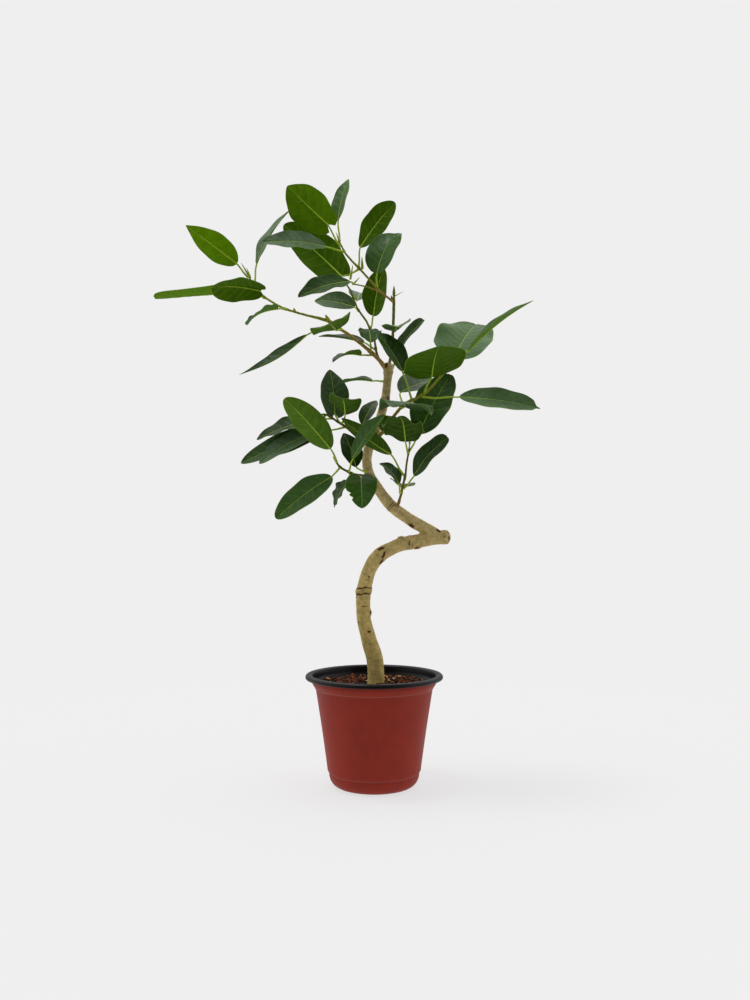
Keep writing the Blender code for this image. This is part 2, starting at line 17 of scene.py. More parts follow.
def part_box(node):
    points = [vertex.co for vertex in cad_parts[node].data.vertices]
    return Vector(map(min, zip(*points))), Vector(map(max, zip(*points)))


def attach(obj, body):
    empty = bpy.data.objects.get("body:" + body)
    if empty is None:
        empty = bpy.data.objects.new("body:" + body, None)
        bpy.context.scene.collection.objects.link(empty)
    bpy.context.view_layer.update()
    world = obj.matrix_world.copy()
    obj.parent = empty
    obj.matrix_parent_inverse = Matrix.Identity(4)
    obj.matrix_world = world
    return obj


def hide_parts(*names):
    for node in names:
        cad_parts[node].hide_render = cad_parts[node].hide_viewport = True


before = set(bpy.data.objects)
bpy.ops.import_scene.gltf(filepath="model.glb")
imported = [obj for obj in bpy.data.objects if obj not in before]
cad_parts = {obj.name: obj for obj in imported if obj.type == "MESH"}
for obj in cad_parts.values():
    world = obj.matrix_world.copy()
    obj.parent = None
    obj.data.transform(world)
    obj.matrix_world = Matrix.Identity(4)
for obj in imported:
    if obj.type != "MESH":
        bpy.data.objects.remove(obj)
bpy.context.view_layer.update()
scene = bpy.context.scene


# ---------------------------------------------------------------- studio
# A pale round floor that fades out into a plain pale room, lit by broad lights overhead and at
# both sides, a softer one behind, and a weak sun that gives the pot its soft shadow.
ROOM_PALE = (0.871, 0.863, 0.863)
CAMERA_PLACE = (0.00095, -1.2, 0.3187)
CAMERA_PITCH = 1.70         # degrees above the horizon
CAMERA_LENS = 34.48         # on a 36 mm sensor
FLOOR_RADIUS = 1.6
FLOOR_PALE = (0.155, 0.154, 0.154)
FLOOR_GLOW = 0.770          # the light that comes through the floor, as from a light table
OVERHEAD_LIGHT = 1.20
AWAY_GAIN = 0.50            # how much stronger the overhead light is towards the back
SIDE_LIGHT = 1.15
BACK_LIGHT = 0.35
ROOM_LIGHT = 0.05
SUN_TILT = (2, -16)         # degrees about X and Y
SUN_POWER = 1.25
SUN_WIDTH = 16              # degrees


def nodes_of(tree):
    """Empty a node tree and return its nodes and a function that joins two sockets."""
    tree.nodes.clear()
    return tree.nodes, tree.links.new


def math_node(nodes, link, operation, first, second=0.0, third=0.0):
    """Place a Math node, whose inputs are sockets or numbers, and return its output."""
    node = nodes.new("ShaderNodeMath")
    node.operation = operation
    for socket, value in zip(node.inputs, (first, second, third)):
        if isinstance(value, (int, float)):
            socket.default_value = value
        else:
            link(value, socket)
    return node.outputs[0]


def smooth_step(nodes, link, value, start, end, low=0.0, high=1.0):
    """Turn a value into one that goes smoothly from low at start to high at end."""
    node = nodes.new("ShaderNodeMapRange")
    node.interpolation_type = "SMOOTHSTEP"
    link(value, node.inputs["Value"])
    for name, number in (("From Min", start), ("From Max", end), ("To Min", low), ("To Max", high)):
        node.inputs[name].default_value = number
    return node.outputs["Result"]


def mix_colour(nodes, link, share, first, second, blend="MIX"):
    """Mix two colours, given as sockets or as (r, g, b), by a share."""
    node = nodes.new("ShaderNodeMix")
    node.data_type = "RGBA"
    node.blend_type = blend
    for socket, value in ((node.inputs[0], share), (node.inputs[6], first), (node.inputs[7], second)):
        if isinstance(value, (int, float)):
            socket.default_value = value
        elif isinstance(value, tuple):
            socket.default_value = (*value, 1.0)
        else:
            link(value, socket)
    return node.outputs[2]


def split_axes(nodes, link, vector):
    """Split a vector into its three values."""
    node = nodes.new("ShaderNodeSeparateXYZ")
    link(vector, node.inputs[0])
    return node.outputs


def light_room():
    """Set the world: pale to the eye, with light from above, from both sides and from behind."""
    world = bpy.data.worlds.new("room")
    scene.world = world
    world.use_nodes = True
    nodes, link = nodes_of(world.node_tree)
    place = nodes.new("ShaderNodeTexCoord")
    x, y, z = split_axes(nodes, link, place.outputs["Generated"])
    overhead = smooth_step(nodes, link, z, 0.20, 0.85, 0.0, OVERHEAD_LIGHT)
    away = math_node(nodes, link, "MULTIPLY_ADD", y, AWAY_GAIN, 1.0)
    overhead = math_node(nodes, link, "MULTIPLY", overhead, away)
    wide = math_node(nodes, link, "ABSOLUTE", x)
    sides = smooth_step(nodes, link, wide, 0.50, 0.95, 0.0, SIDE_LIGHT)
    behind = smooth_step(nodes, link, y, -0.1, 0.9, 0.0, BACK_LIGHT)
    total = math_node(nodes, link, "ADD", overhead, sides)
    total = math_node(nodes, link, "ADD", total, behind)
    total = math_node(nodes, link, "ADD", total, ROOM_LIGHT)
    light = nodes.new("ShaderNodeBackground")
    link(total, light.inputs["Strength"])
    seen = nodes.new("ShaderNodeBackground")
    seen.inputs["Color"].default_value = (*ROOM_PALE, 1.0)
    ray = nodes.new("ShaderNodeLightPath")
    either = nodes.new("ShaderNodeMixShader")
    link(ray.outputs["Is Camera Ray"], either.inputs[0])
    link(light.outputs[0], either.inputs[1])
    link(seen.outputs[0], either.inputs[2])
    out = nodes.new("ShaderNodeOutputWorld")
    link(either.outputs[0], out.inputs["Surface"])


def lay_floor():
    """Lay the round floor, opaque round the pot and faded out towards its edge."""
    bpy.ops.object.select_all(action="DESELECT")
    bpy.ops.mesh.primitive_circle_add(vertices=96, radius=FLOOR_RADIUS, fill_type="NGON")
    floor = bpy.context.object
    floor.name = "studio_floor"
    finish = bpy.data.materials.new("studio_floor_paint")
    finish.use_nodes = True
    nodes, link = nodes_of(finish.node_tree)
    place = nodes.new("ShaderNodeTexCoord")
    reach = nodes.new("ShaderNodeVectorMath")
    reach.operation = "LENGTH"
    link(place.outputs["Object"], reach.inputs[0])
    fade = smooth_step(nodes, link, reach.outputs["Value"], 0.25, FLOOR_RADIUS * 0.95)
    paint = nodes.new("ShaderNodeBsdfPrincipled")
    paint.inputs["Base Color"].default_value = (*FLOOR_PALE, 1.0)
    paint.inputs["Roughness"].default_value = 1.0
    paint.inputs["Specular IOR Level"].default_value = 0.0
    paint.inputs["Emission Color"].default_value = (*ROOM_PALE, 1.0)
    paint.inputs["Emission Strength"].default_value = FLOOR_GLOW
    clear = nodes.new("ShaderNodeBsdfTransparent")
    either = nodes.new("ShaderNodeMixShader")
    link(fade, either.inputs[0])
    link(paint.outputs[0], either.inputs[1])
    link(clear.outputs[0], either.inputs[2])
    out = nodes.new("ShaderNodeOutputMaterial")
    link(either.outputs[0], out.inputs["Surface"])
    floor.data.materials.append(finish)


def hang_sun():
    """Hang a weak, soft sun overhead, a little to the left."""
    tilt_x, tilt_y = (math.radians(angle) for angle in SUN_TILT)
    bpy.ops.object.light_add(type="SUN", rotation=(tilt_x, tilt_y, 0))
    sun = bpy.context.object
    sun.name = "soft_sun"
    sun.data.energy = SUN_POWER
    sun.data.angle = math.radians(SUN_WIDTH)


light_room()
lay_floor()
hang_sun()
bpy.ops.object.camera_add(location=CAMERA_PLACE, rotation=(math.radians(90 + CAMERA_PITCH), 0, 0))
camera = bpy.context.object
camera.data.lens = CAMERA_LENS
camera.data.clip_start = 0.01
scene.camera = camera
scene.view_settings.view_transform = "Standard"
scene.view_settings.look = "None"


# ---------------------------------------------------------------- nursery pot
# A thin thermoformed pot of two-coloured polypropylene sheet: brick red outside, black inside
# and over its broad rolled lip.  Both layers are turned here from the same wall line.
MOUTH_RADIUS = 0.073
LIP_EDGE = 0.085
RIM_HEIGHT = 0.137
LIP_DROP = 0.0042
BAND_LINE = 0.1215
FOOT_RADIUS = 0.05725
FOOT_LINE = 0.018
SHEET = 0.0006              # each layer's thickness
POT_SIDES = 128
DRAIN_COUNT = 8
DRAIN_RADIUS = 0.004
DRAIN_CIRCLE = 0.0350
POT_RED = (0.262, 0.026, 0.014)
POT_BLACK = (0.0050, 0.0042, 0.0046)
PALE_BEAD_RED = (0.50, 0.20, 0.16)
FOOT_ROUNDING = (0.014, 0.016)      # how far in and how far up the foot's rounded edge goes


def new_finish(name, roughness, shine=0.5):
    """Start a material and return it with its nodes, its link function and its shader."""
    finish = bpy.data.materials.new(name)
    finish.use_nodes = True
    nodes, link = nodes_of(finish.node_tree)
    shader = nodes.new("ShaderNodeBsdfPrincipled")
    shader.inputs["Roughness"].default_value = roughness
    shader.inputs["Specular IOR Level"].default_value = shine
    out = nodes.new("ShaderNodeOutputMaterial")
    link(shader.outputs[0], out.inputs["Surface"])
    return finish, nodes, link, shader


def grain(nodes, link, vector, scale, detail=3.0, roughness=0.55, fourth=None):
    """Place a noise of a scale in features to the metre and return its value."""
    noise = nodes.new("ShaderNodeTexNoise")
    noise.inputs["Scale"].default_value = scale
    noise.inputs["Detail"].default_value = detail
    noise.inputs["Roughness"].default_value = roughness
    link(vector, noise.inputs["Vector"])
    if fourth is not None:
        noise.noise_dimensions = "4D"
        link(fourth, noise.inputs["W"])
    return noise.outputs["Fac"]


def bump(nodes, link, shader, height, distance):
    """Feed a height into the shader's normal."""
    node = nodes.new("ShaderNodeBump")
    node.inputs["Strength"].default_value = 1.0
    node.inputs["Distance"].default_value = distance
    link(height, node.inputs["Height"])
    link(node.outputs[0], shader.inputs["Normal"])


def object_place(nodes):
    """Return the place on the piece, in metres."""
    return nodes.new("ShaderNodeTexCoord").outputs["Object"]


def scaled(nodes, link, vector, factor):
    """Multiply a colour or a place, given as a socket or as numbers, by a factor."""
    node = nodes.new("ShaderNodeVectorMath")
    node.operation = "SCALE"
    if isinstance(vector, tuple):
        node.inputs[0].default_value = vector
    else:
        link(vector, node.inputs[0])
    link(factor, node.inputs["Scale"])
    return node.outputs[0]


def sheet_finish(name, colour, roughness, shine, speckle, dust, pale_bead_lines=()):
    """Moulded polypropylene: fine speckle, clouds, streaks, dust and pale lines along its beads."""
    finish, nodes, link, shader = new_finish(name, roughness, shine)
    place = object_place(nodes)
    stretch = nodes.new("ShaderNodeMapping")
    stretch.inputs["Scale"].default_value = (1.0, 1.0, 0.12)
    link(place, stretch.inputs["Vector"])
    fine = grain(nodes, link, place, 1500, 2.0)
    cloud = grain(nodes, link, place, 38, 4.0)
    streak = grain(nodes, link, stretch.outputs[0], 300, 3.0)
    shade = smooth_step(nodes, link, fine, 0.25, 0.75, 1.0 - speckle, 1.0 + speckle)
    tint = smooth_step(nodes, link, cloud, 0.30, 0.72, 0.93, 1.07)
    drawn = smooth_step(nodes, link, streak, 0.30, 0.70, 0.97, 1.03)
    shade = math_node(nodes, link, "MULTIPLY", shade, tint)
    shade = math_node(nodes, link, "MULTIPLY", shade, drawn)
    toned = scaled(nodes, link, colour, shade)
    settled = smooth_step(nodes, link, grain(nodes, link, place, 260, 5.0, 0.7), 0.52, 0.80, 0.0, dust)
    dusty = tuple(min(1.0, 0.10 + channel * 0.9) for channel in colour)
    painted = mix_colour(nodes, link, settled, toned, dusty)
    height = split_axes(nodes, link, place)[2]
    # Paler red lines along the band bead and the foot ledge.
    for line_height in pale_bead_lines:
        off = math_node(nodes, link, "SUBTRACT", height, line_height)
        off = math_node(nodes, link, "ABSOLUTE", off)
        bead_paleness = smooth_step(nodes, link, off, 0.0003, 0.0009, 0.34, 0.0)
        painted = mix_colour(nodes, link, bead_paleness, painted, PALE_BEAD_RED)
    link(painted, shader.inputs["Base Color"])
    rough = smooth_step(nodes, link, cloud, 0.25, 0.75, roughness - 0.05, roughness + 0.07)
    link(rough, shader.inputs["Roughness"])
    bump(nodes, link, shader, fine, 0.00003)
    return finish


def wall_line():
    """List the pot's outer wall as (radius, height), from under the lip to the underside."""
    flare = ((0.0049, 0.0028), (0.0050, 0.0072), (0.0043, 0.0098), (0.0029, 0.0124), (0.0014, 0.0144))
    line = [(MOUTH_RADIUS + out, RIM_HEIGHT - drop) for out, drop in flare]
    bead = ((0.0008, -0.0005), (0.0010, 0.0), (0.0005, 0.0006), (-0.0002, 0.0016))
    line += [(MOUTH_RADIUS + out, BAND_LINE - drop) for out, drop in bead]
    top = (MOUTH_RADIUS - 0.0006, BAND_LINE - 0.0040)
    foot = (FOOT_RADIUS + 0.0009, FOOT_LINE + 0.0040)
    for step in range(13):
        share = step / 12
        bow = -0.0004 * math.sin(math.pi * share)
        line.append((top[0] + (foot[0] - top[0]) * share + bow, top[1] + (foot[1] - top[1]) * share))
    ledge = ((0.0007, -0.0022), (0.0001, -0.0012), (-0.0010, 0.0002), (-0.0018, 0.0010), (-0.0013, 0.0016))
    line += [(FOOT_RADIUS + out, FOOT_LINE - drop) for out, drop in ledge]
    inward, upward = FOOT_ROUNDING
    for angle in range(0, 91, 10):
        lean = math.radians(angle)
        line.append((FOOT_RADIUS - 0.0012 - inward * (1 - math.cos(lean)), upward * (1 - math.sin(lean))))
    return line


def lip_line():
    """List the lip from its turned-down edge over the top and down into the pot."""
    edge = LIP_EDGE
    top = RIM_HEIGHT
    return [
        (edge - 0.0006, top - LIP_DROP), (edge, top - LIP_DROP + 0.0006), (edge, top - 0.0020),
        (edge - 0.0004, top - 0.0010), (edge - 0.0013, top - 0.0003), (edge - 0.0026, top),
        (edge - 0.0050, top - 0.0001), (MOUTH_RADIUS + 0.0054, top - 0.0003),
        (MOUTH_RADIUS + 0.0045, top - 0.0009), (MOUTH_RADIUS + 0.0041, top - 0.0018),
    ]


def turn_sheet(name, line):
    """Turn a line into a sheet, ring by ring, open at its first point and closed at its last."""
    bpy.ops.object.select_all(action="DESELECT")
    radius, height = line[0]
    bpy.ops.mesh.primitive_circle_add(vertices=POT_SIDES, radius=radius, location=(0, 0, height))
    sheet = bpy.context.object
    sheet.name = name
    bpy.ops.object.transform_apply(location=True, rotation=True, scale=True)
    bpy.ops.object.mode_set(mode="EDIT")
    bpy.ops.mesh.select_all(action="SELECT")
    for (before, low), (after, high) in zip(line, line[1:]):
        bpy.ops.mesh.extrude_region_move(TRANSFORM_OT_translate={"value": (0, 0, high - low)})
        share = after / before
        bpy.ops.transform.resize(value=(share, share, 1), center_override=(0, 0, 0))
    bpy.ops.mesh.extrude_region_move(TRANSFORM_OT_translate={"value": (0, 0, 0)})
    bpy.ops.mesh.merge(type="CENTER")
    bpy.ops.object.mode_set(mode="OBJECT")
    return sheet


def pick(*pieces):
    """Select only these pieces, with the first one active."""
    bpy.ops.object.select_all(action="DESELECT")
    for piece in pieces:
        piece.select_set(True)
    bpy.context.view_layer.objects.active = pieces[0]


def turn_out(piece):
    """Merge a piece's doubles and make its faces point outwards."""
    pick(piece)
    bpy.ops.object.mode_set(mode="EDIT")
    bpy.ops.mesh.select_all(action="SELECT")
    bpy.ops.mesh.remove_doubles(threshold=0.00001)
    bpy.ops.mesh.normals_make_consistent(inside=False)
    bpy.ops.object.mode_set(mode="OBJECT")


def apply_step(piece, kind, **settings):
    """Add a modifier to a piece, with its settings, and apply it."""
    pick(piece)
    step = piece.modifiers.new(kind.lower(), kind)
    for name, value in settings.items():
        setattr(step, name, value)
    bpy.ops.object.modifier_apply(modifier=step.name)


def drill_drains(piece):
    """Cut the round drain holes through a layer's floor."""
    bpy.ops.object.select_all(action="DESELECT")
    bpy.ops.mesh.primitive_cylinder_add(vertices=24, radius=DRAIN_RADIUS, depth=0.012,
                                        location=(DRAIN_CIRCLE, 0, 0))
    drill = bpy.context.object
    bpy.ops.object.transform_apply(location=True, rotation=True, scale=True)
    bpy.ops.object.mode_set(mode="EDIT")
    for _ in range(DRAIN_COUNT - 1):
        bpy.ops.mesh.duplicate()
        bpy.ops.transform.rotate(value=2 * math.pi / DRAIN_COUNT, orient_axis="Z",
                                 center_override=(0, 0, 0))
    bpy.ops.object.mode_set(mode="OBJECT")
    apply_step(piece, "BOOLEAN", operation="DIFFERENCE", object=drill, solver="EXACT")
    bpy.data.objects.remove(drill)


def finish_piece(piece, slot, *nodes):
    """Say what a piece rides on and hide the CAD parts it stands for; the slot is not used."""
    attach(piece, "root")
    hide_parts(*nodes)


def smooth_by_angle(piece, degrees):
    """Shade a piece smooth, with creases above an angle."""
    pick(piece)
    bpy.ops.object.shade_smooth_by_angle(angle=math.radians(degrees))


skin = turn_sheet("pot_skin", wall_line())
turn_out(skin)
apply_step(skin, "SOLIDIFY", thickness=SHEET, offset=-1.0)
drill_drains(skin)
skin.data.materials.append(sheet_finish("red_polypropylene", POT_RED, 0.50, 0.12, 0.09, 0.05,
                                        (BAND_LINE, FOOT_LINE - 0.0008)))
smooth_by_angle(skin, 40)
finish_piece(skin, "pot_red", "nursery_pot")

inner_wall = [(radius - SHEET - 0.00002, height + SHEET * 0.5) for radius, height in wall_line()]
inner_wall = [(radius, max(height, SHEET)) for radius, height in inner_wall[1:]]
lining = turn_sheet("pot_lining", lip_line() + inner_wall)
turn_out(lining)
apply_step(lining, "SOLIDIFY", thickness=SHEET, offset=1.0)
drill_drains(lining)
lining.data.materials.append(sheet_finish("black_polypropylene", POT_BLACK, 0.30, 0.16, 0.10, 0.03))
smooth_by_angle(lining, 40)
finish_piece(lining, "pot_black", "nursery_pot")


# ---------------------------------------------------------------- potting mix
# Coarse bark and clay granules, reddish brown with black gaps and a few pale golden bits.  A
# lumpy bed fills the pot, a little higher at its middle, and loose chips lie on it.
MIX_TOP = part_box("potting_mix")[1].z
MIX_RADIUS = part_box("potting_mix")[1].x
MIX_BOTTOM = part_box("potting_mix")[0].z
MIX_FOOT_RADIUS = 0.0400
MIX_EDGE_DROP = 0.0035      # how far below the top the bed meets the wall
WALL_GAP = 0.0022           # no chip's middle lies nearer to the wall
CHIP_COUNT = 1900
CHIP_SIZES = (0.0013, 0.0029)
CHIP_SEED = 11
CHIP_KINDS = 6
CHIP_CUTS = 4
TRUNK_HOLE = 0.0118         # no chip lies nearer to the trunk's middle line
TRUNK_FOOT = (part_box("trunk")[0].x + 0.0145, 0.0)


def mix_height(x, y):
    """Give the bed's height at a place: slightly domed, with lumps."""
    reach = math.hypot(x, y) / MIX_RADIUS
    lumps = math.sin(x * 310 + 1.3) * math.cos(y * 270 - 0.4) + 0.6 * math.sin(x * 640 - y * 510)
    return MIX_TOP + 0.0004 - 0.0006 * reach * reach + 0.0005 * lumps


def mix_bed():
    """Turn the bed's closed body and push its top into lumps."""
    line = [(MIX_RADIUS * share, MIX_TOP - 0.0020) for share in np.linspace(0.985, 0.03, 40)]
    heel = (FOOT_RADIUS - 0.0040, 0.0150)
    side = [(MIX_FOOT_RADIUS, MIX_BOTTOM), (MIX_FOOT_RADIUS + 0.0080, 0.0060)]
    side += [(heel[0] + (MIX_RADIUS - heel[0]) * share, heel[1] + (MIX_TOP - MIX_EDGE_DROP - heel[1]) * share)
             for share in np.linspace(0, 1, 8)]
    bed = turn_sheet("mix_bed", [(0.0004, MIX_BOTTOM), *side, *line])
    bpy.ops.object.mode_set(mode="EDIT")
    bpy.ops.mesh.select_all(action="SELECT")
    bpy.ops.mesh.fill_holes(sides=0)
    bpy.ops.object.mode_set(mode="OBJECT")
    turn_out(bed)
    for corner in bed.data.vertices:
        x, y, z = corner.co
        if z > MIX_TOP - 0.003:
            corner.co.z = mix_height(x, y)
    return bed


def chip_shapes(rng):
    """Model a few broken chips, each a small sphere cut by flats and stretched."""
    shapes = []
    for _ in range(CHIP_KINDS):
        bpy.ops.object.select_all(action="DESELECT")
        bpy.ops.mesh.primitive_ico_sphere_add(subdivisions=2, radius=1.0)
        chip = bpy.context.object
        bpy.ops.object.mode_set(mode="EDIT")
        for _ in range(CHIP_CUTS):
            flat = Vector((rng.uniform(-1, 1), rng.uniform(-1, 1), rng.uniform(-1, 1))).normalized()
            bpy.ops.mesh.select_all(action="SELECT")
            bpy.ops.mesh.bisect(plane_co=flat * rng.uniform(0.45, 0.7), plane_no=flat,
                                clear_outer=True, use_fill=True)
        bpy.ops.mesh.select_all(action="SELECT")
        bpy.ops.mesh.dissolve_limited(angle_limit=math.radians(22))
        bpy.ops.mesh.quads_convert_to_tris()
        bpy.ops.transform.resize(value=(1.25, 0.9, 0.62), center_override=(0, 0, 0))
        bpy.ops.object.mode_set(mode="OBJECT")
        corners = np.array([tuple(v.co) for v in chip.data.vertices])
        faces = [tuple(face.vertices) for face in chip.data.polygons]
        shapes.append((corners, faces))
        bpy.data.objects.remove(chip)
    return shapes


def scatter_chips():
    """Copy the chips over the bed, each turned and sized at random, with its own tone."""
    rng = random.Random(CHIP_SEED)
    shapes = chip_shapes(rng)
    corners = []
    faces = []
    tones = []
    for _ in range(CHIP_COUNT):
        reach = (MIX_RADIUS - WALL_GAP) * math.sqrt(rng.random())
        angle = rng.uniform(0, 2 * math.pi)
        x = reach * math.cos(angle)
        y = reach * math.sin(angle)
        size = CHIP_SIZES[0] + (CHIP_SIZES[1] - CHIP_SIZES[0]) * rng.random() ** 1.8
        spin = Matrix.Rotation(rng.uniform(0, 2 * math.pi), 3, "Z")
        tilt = Matrix.Rotation(rng.gauss(0, 0.55), 3, "X") @ Matrix.Rotation(rng.gauss(0, 0.55), 3, "Y")
        tone = rng.random()
        shade = rng.random()
        shape, chip_faces = shapes[rng.randrange(len(shapes))]
        if math.hypot(x - TRUNK_FOOT[0], y - TRUNK_FOOT[1]) < TRUNK_HOLE + size:
            continue
        turned = shape @ np.array(tilt @ spin).T * size
        z = mix_height(x, y) + size * rng.uniform(0.1, 0.55)
        start = len(corners)
        corners.extend((turned + np.array((x, y, z))).tolist())
        faces.extend(tuple(start + i for i in face) for face in chip_faces)
        tones.extend([(tone, shade)] * sum(len(face) for face in chip_faces))
    mesh = bpy.data.meshes.new("mix_chips")
    mesh.from_pydata(corners, [], faces)
    chips = bpy.data.objects.new("mix_chips", mesh)
    scene.collection.objects.link(chips)
    layer = mesh.uv_layers.new(name="tone")
    layer.data.foreach_set("uv", np.array(tones, np.float32).ravel())
    return chips


def ramp(nodes, link, value, stops):
    """Turn a value into a colour through stops of (place, (r, g, b))."""
    node = nodes.new("ShaderNodeValToRGB")
    link(value, node.inputs[0])
    while len(node.color_ramp.elements) < len(stops):
        node.color_ramp.elements.new(0.5)
    for element, (place, colour) in zip(node.color_ramp.elements, stops):
        element.position = place
        element.color = (*colour, 1.0)
    return node.outputs["Color"]


def chip_finish():
    """Broken bark and clay, its tone read from the chip's own place in the tone map."""
    finish, nodes, link, shader = new_finish("bark_chips", 0.6, 0.08)
    place = object_place(nodes)
    layer = nodes.new("ShaderNodeUVMap")
    layer.uv_map = "tone"
    tone, shade, _ = split_axes(nodes, link, layer.outputs[0])
    stops = (
        (0.00, (0.003, 0.002, 0.002)), (0.30, (0.014, 0.005, 0.002)), (0.56, (0.070, 0.020, 0.005)),
        (0.80, (0.190, 0.052, 0.012)), (0.93, (0.330, 0.120, 0.030)), (1.00, (0.700, 0.430, 0.170)),
    )
    colour = ramp(nodes, link, tone, stops)
    mottle = smooth_step(nodes, link, grain(nodes, link, place, 900, 4.0, 0.7), 0.32, 0.68, 0.55, 1.35)
    link(scaled(nodes, link, colour, mottle), shader.inputs["Base Color"])
    link(smooth_step(nodes, link, shade, 0.0, 1.0, 0.42, 0.85), shader.inputs["Roughness"])
    bump(nodes, link, shader, grain(nodes, link, place, 1400, 4.0, 0.7), 0.0002)
    return finish


def bed_finish():
    """The dark, fine mix between the chips."""
    finish, nodes, link, shader = new_finish("fine_mix", 0.9, 0.1)
    place = object_place(nodes)
    crumbs = grain(nodes, link, place, 700, 5.0, 0.75)
    stops = ((0.30, (0.002, 0.001, 0.001)), (0.55, (0.009, 0.004, 0.002)), (0.78, (0.050, 0.016, 0.006)))
    link(ramp(nodes, link, crumbs, stops), shader.inputs["Base Color"])
    bump(nodes, link, shader, crumbs, 0.0008)
    return finish


bed = mix_bed()
bed.data.materials.append(bed_finish())
smooth_by_angle(bed, 60)
finish_piece(bed, "potting_mix", "potting_mix")
chips = scatter_chips()
chips.data.materials.append(chip_finish())
finish_piece(chips, "potting_mix", "potting_mix")


# ---------------------------------------------------------------- trunk
# A bare fig trunk bent to the right, topped there, with one limb grown back up from the bend.
# Smooth olive to beige bark with wrinkles across it, leaf-scar rings, knots and pruning scars.
TRUNK_VOXEL = 0.0009
SCAR_BLUR = 0.14            # the softness of a scar's edge, as a share of the scar
# A scar: place (x, z) on the front, long and short half widths, turn in degrees, depth, darkness.
TRUNK_SCARS = (
    (0.0466, 0.3222, 0.0042, 0.0023, -25, -0.0006, 1.0), (0.0804, 0.3160, 0.0035, 0.0020, -35, -0.0004, 0.9),
    (0.0883, 0.3084, 0.0016, 0.0008, 60, -0.0002, 0.6), (0.0085, 0.2935, 0.0048, 0.0018, 25, -0.0004, 0.90),
    (0.0118, 0.2855, 0.0052, 0.0015, 65, -0.0005, 1.0), (0.0112, 0.2755, 0.0040, 0.0016, 55, -0.0003, 1.0),
    (-0.0064, 0.2586, 0.0016, 0.0010, -30, -0.0003, 1.0), (-0.0080, 0.2552, 0.0042, 0.0010, 5, 0.0003, 0.5),
    (-0.0065, 0.1909, 0.0024, 0.0013, 0, -0.0003, 0.9), (-0.0050, 0.1759, 0.0009, 0.0011, 0, -0.0002, 0.9),
    (-0.0108, 0.1782, 0.0010, 0.0008, 0, -0.0001, 0.6), (-0.0193, 0.2023, 0.0010, 0.0014, 0, -0.0002, 0.7),
    (-0.0045, 0.1583, 0.0012, 0.0009, 20, -0.0002, 0.5), (0.0029, 0.1636, 0.0008, 0.0010, 0, -0.0002, 0.6),
    (-0.0226, 0.2352, 0.0014, 0.0036, 5, -0.0002, 0.8), (-0.0028, 0.2144, 0.0026, 0.0030, 0, 0.0022, 0.7),
    (0.0321, 0.3100, 0.0030, 0.0026, 0, 0.0026, 0.40), (0.0437, 0.3005, 0.0014, 0.0040, 0, 0.0004, 0.65),
    (0.0475, 0.2975, 0.0012, 0.0030, 10, 0.0003, 0.5), (0.0537, 0.2951, 0.0036, 0.0028, 0, 0.0020, 0.6),
    (0.0141, 0.5229, 0.0032, 0.0036, 0, 0.0006, 0.75), (0.0170, 0.4815, 0.0022, 0.0040, -10, 0.0004, 0.6),
    (-0.0120, 0.2223, 0.0048, 0.0010, 0, -0.0004, 0.6), (-0.0145, 0.2640, 0.0018, 0.0040, 35, 0.0002, 0.4),
)
# A ring: place (x, z) on the limb, half width, height of its ridge, how strongly it is marked.
TRUNK_RINGS = (
    (-0.0129, 0.2413, 0.0032, 0.0013, 1.00), (0.0205, 0.3455, 0.0013, 0.0007, 1.00),
    (-0.0085, 0.3980, 0.0012, 0.0005, 0.60), (-0.0070, 0.1905, 0.0011, 0.0003, 0.40),
    (0.0450, 0.3010, 0.0020, 0.0004, 0.40), (0.0070, 0.2870, 0.0030, 0.0005, 0.45),
    (-0.0105, 0.2225, 0.0012, 0.0002, 0.25), (-0.0075, 0.2555, 0.0012, 0.0004, 0.35),
    (0.0060, 0.4400, 0.0010, 0.0003, 0.35), (0.0150, 0.4815, 0.0012, 0.0004, 0.45),
    (0.0640, 0.3270, 0.0010, 0.0003, 0.30), (0.0170, 0.5150, 0.0030, 0.0008, 0.30),
    (0.0860, 0.3080, 0.0016, 0.0005, 0.30), (-0.0060, 0.4240, 0.0010, 0.0003, 0.25),
)
# A pruned end: its middle, the direction it faces, its radius, and how far the rounding goes.
TRUNK_ENDS = (
    ((0.0946, 0.0010, 0.3090), (1.0, -0.05, 0.13), 0.0090, 0.0100),
    ((0.0180, 0.0000, 0.5270), (0.05, 0.0, 1.0), 0.0062, 0.0060),
)
BARK_OLIVE = (0.780, 0.590, 0.220)
BARK_BEIGE = (0.900, 0.690, 0.360)
BUMP_PALE = (0.900, 0.740, 0.420)
SCAR_BROWN = (0.130, 0.042, 0.014)
SPECKLE_BROWN = (0.210, 0.170, 0.085)
RING_SEARCH = 0.012         # how much of the limb tells a ring its direction
RING_REACH = 0.015          # a ring marks no corner further from its middle than this
SCAR_DEPTH = 0.006          # how deep into the limb a scar's mark fades out
END_ROUNDING = 0.62         # how much a pruned end's edge is drawn in
END_DOME = 0.0012
TRUNK_SWELL = 0.00025


def grown_copy(name, node, voxel, smoothing):
    """Copy a CAD limb, join its faces, and remesh it into an even, smooth skin."""
    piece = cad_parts[node].copy()
    piece.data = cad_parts[node].data.copy()
    piece.parent = None
    piece.name = name
    for key in list(piece.keys()):
        del piece[key]
    piece.data.materials.clear()
    scene.collection.objects.link(piece)
    piece.matrix_world = Matrix.Identity(4)
    turn_out(piece)
    apply_step(piece, "REMESH", mode="VOXEL", voxel_size=voxel, adaptivity=0.0)
    apply_step(piece, "SMOOTH", factor=0.5, iterations=smoothing)
    return piece


